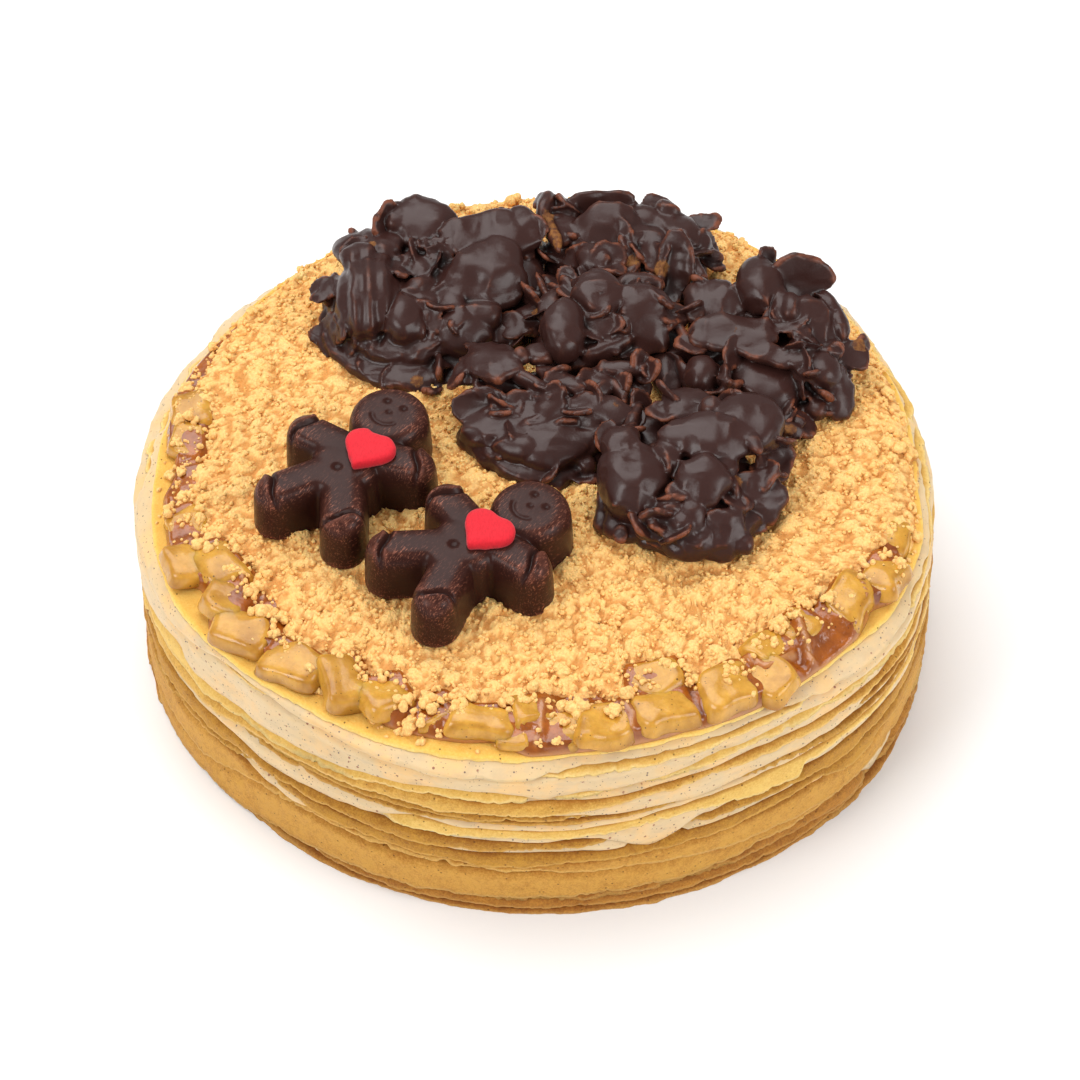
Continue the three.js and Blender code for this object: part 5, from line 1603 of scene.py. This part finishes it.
def folds(points, seed):
    """Soft creases of the coating where it ran together."""
    warp = noise_vectors(points, 6, seed)
    broad = 0.5 - np.abs(smooth_noise(points + 1.6 * warp, 7.5, seed + 7))
    small = 0.4 - np.abs(smooth_noise(points + 0.8 * warp, 3.2, seed + 8))
    return 0.9 * broad + 0.35 * small


def build_clusters():
    """Each cluster, melted together from its lobes, leaves and broken flakes."""
    colours = srgb(54, 30, 26), srgb(118, 64, 42), srgb(150, 92, 66)
    finish = chocolate_finish("flake chocolate", *colours, 0.1, 0.3)
    base, base_faces = ball(4)
    chip, chip_faces = ball(3)
    for number, (place, rows) in enumerate(CLUSTERS.items()):
        name = f"cluster_{place}"
        forms = [in_full(row) for row in rows]
        whole = [*forms, *footing(name)]
        parts = [(lump(base, form, 100 * number + k), base_faces) for k, form in enumerate(whole)]
        broken = shards(forms, SHARDS, 900 + number)
        parts += [(lump(chip, form, 700 + 100 * number + k), chip_faces) for k, form in enumerate(broken)]
        points, faces = joined(parts)
        points[:, 2] = np.maximum(points[:, 2], CLUSTER_FOOT)
        mesh = melted(place, points, faces, CLUSTER_VOXEL, CLUSTER_SMOOTHING)
        skin = read_vectors(mesh, "co")
        relief = folds(skin, 400 + 10 * number) + ribs_over(skin)
        skin = skin + read_vectors(mesh, "normal") * relief[:, None]
        write_points(mesh, skin)
        bare = np.zeros(len(skin))
        for x, y, z, radius in BARE_SPOTS:
            bare = np.maximum(bare, 1 - np.linalg.norm(skin - [x, y, z], axis=1) / (1.3 * radius))
        # Painted shade: deep marks the broad hollows of each cluster for the finish to darken; the crest also
        # gives rubbed rims on raised parts and painted shade in small hollows.
        finish_skin(mesh, crest_of(mesh, 5, 0.36), -crest_of(mesh, 60, 1.6), bare)
        add_piece(name + "_dressed", thinned(mesh, KEPT_SHARE), finish, "flake_chocolate", name)


# ---- stage ----

CAMERA_PLACE = (-0.0001, -0.4520, 0.5285)
CAMERA_TILT = 41.5
FLOOR_REACH = 3.0


def build_studio(floor_colour, sky, key):
    """The floor, camera, light all round and three lamps; key is the power of the one overhead."""
    scene = bpy.context.scene
    floor_mesh = bpy.data.meshes.new("studio_floor")
    corners = [(FLOOR_REACH * x, FLOOR_REACH * y, 0) for x, y in ((-1, -1), (1, -1), (1, 1), (-1, 1))]
    floor_mesh.from_pydata(corners, [], [(0, 1, 2, 3)])
    floor = bpy.data.objects.new("studio_floor", floor_mesh)
    scene.collection.objects.link(floor)
    floor_mesh.materials.append(floor_finish("studio floor", floor_colour))

    camera = bpy.data.cameras.new("camera")
    camera.lens = 100
    camera.sensor_width = 36
    viewer = bpy.data.objects.new("camera", camera)
    viewer.location = CAMERA_PLACE
    viewer.rotation_euler = (math.radians(CAMERA_TILT), 0, 0)
    scene.collection.objects.link(viewer)
    scene.camera = viewer

    scene.world = bpy.data.worlds.new("studio")
    scene.world.use_nodes = True
    background = scene.world.node_tree.nodes["Background"]
    background.inputs["Color"].default_value = (1, 1, 1, 1)
    background.inputs["Strength"].default_value = sky
    scene.view_settings.view_transform = "Standard"
    for name, place, size, power in (
        ("top light", (-0.22, 0.42, 1.02), 1.1, key),
        ("left light", (-0.75, -0.55, 0.75), 0.6, key * 0.6),
        ("right light", (0.8, -0.5, 0.55), 0.7, key * 0.58),
    ):
        lamp = bpy.data.lights.new(name, "AREA")
        lamp.shape = "DISK"
        lamp.size = size
        lamp.energy = power
        lamp_object = bpy.data.objects.new(name, lamp)
        lamp_object.location = place
        aim = Vector((0, 0, 0.03)) - Vector(place)
        lamp_object.rotation_euler = aim.to_track_quat("-Z", "Y").to_euler()
        scene.collection.objects.link(lamp_object)


# ---- the add-on ----


class CakeColours(bpy.types.PropertyGroup):
    cream: bpy.props.FloatVectorProperty(
        name="Cream", description="Colour of the spice cream", subtype="COLOR", default=srgb(220, 192, 148)
    )
    heart: bpy.props.FloatVectorProperty(
        name="Heart", description="Colour of the sugar hearts", subtype="COLOR", default=srgb(220, 24, 42)
    )
    floor: bpy.props.FloatVectorProperty(
        name="Floor", description="Colour of the studio floor", subtype="COLOR", default=(0.96, 0.96, 0.96)
    )


class StudioLight(bpy.types.PropertyGroup):
    sky: bpy.props.FloatProperty(name="Sky", description="Brightness all round", default=0.35, min=0)
    key: bpy.props.FloatProperty(
        name="Key", description="Power of the light overhead", default=10.4, min=0, unit="POWER"
    )


class CAKE_OT_layers(bpy.types.Operator):
    """Makes the fourteen crepes and the spice cream between them"""

    bl_idname = "cake.layers"
    bl_label = "Crepes and Cream"

    def execute(self, context):
        build_layers(context.scene.cake_colours)
        return {"FINISHED"}


class CAKE_OT_apple(bpy.types.Operator):
    """Makes the cooked apple and its syrup"""

    bl_idname = "cake.apple"
    bl_label = "Apple Compote"

    def execute(self, context):
        build_apple()
        return {"FINISHED"}


class CAKE_OT_crumble(bpy.types.Operator):
    """Makes the crumble with its loose grains"""

    bl_idname = "cake.crumble"
    bl_label = "Crumble"

    def execute(self, context):
        build_crumble()
        return {"FINISHED"}


class CAKE_OT_figures(bpy.types.Operator):
    """Makes the two chocolate figures and their hearts"""

    bl_idname = "cake.figures"
    bl_label = "Figures and Hearts"

    def execute(self, context):
        build_figures(context.scene.cake_colours)
        return {"FINISHED"}


class CAKE_OT_clusters(bpy.types.Operator):
    """Makes the six clusters of chocolate flakes"""

    bl_idname = "cake.clusters"
    bl_label = "Flake Clusters"

    def execute(self, context):
        build_clusters()
        return {"FINISHED"}


class CAKE_OT_studio(bpy.types.Operator):
    """Makes the floor, the lights and the camera"""

    bl_idname = "cake.studio"
    bl_label = "Studio"

    def execute(self, context):
        light = context.scene.cake_light
        build_studio(tuple(context.scene.cake_colours.floor), light.sky, light.key)
        return {"FINISHED"}


OPERATORS = (
    CAKE_OT_studio,
    CAKE_OT_layers,
    CAKE_OT_apple,
    CAKE_OT_crumble,
    CAKE_OT_figures,
    CAKE_OT_clusters,
)


class CAKE_PT_panel(bpy.types.Panel):
    bl_idname = "CAKE_PT_panel"
    bl_label = "Crepe Cake"
    bl_space_type = "VIEW_3D"
    bl_region_type = "UI"
    bl_category = "Crepe Cake"

    def draw(self, context):
        for operator in OPERATORS:
            self.layout.operator(operator.bl_idname)


CLASSES = (CakeColours, StudioLight, *OPERATORS, CAKE_PT_panel)


def register():
    for cls in CLASSES:
        bpy.utils.register_class(cls)
    bpy.types.Scene.cake_colours = bpy.props.PointerProperty(type=CakeColours)
    bpy.types.Scene.cake_light = bpy.props.PointerProperty(type=StudioLight)


def unregister():
    del bpy.types.Scene.cake_light
    del bpy.types.Scene.cake_colours
    for cls in reversed(CLASSES):
        bpy.utils.unregister_class(cls)


def main():
    register()
    for operator in OPERATORS:
        getattr(bpy.ops.cake, operator.bl_idname.split(".")[1])()


if __name__ == "__main__":
    main()
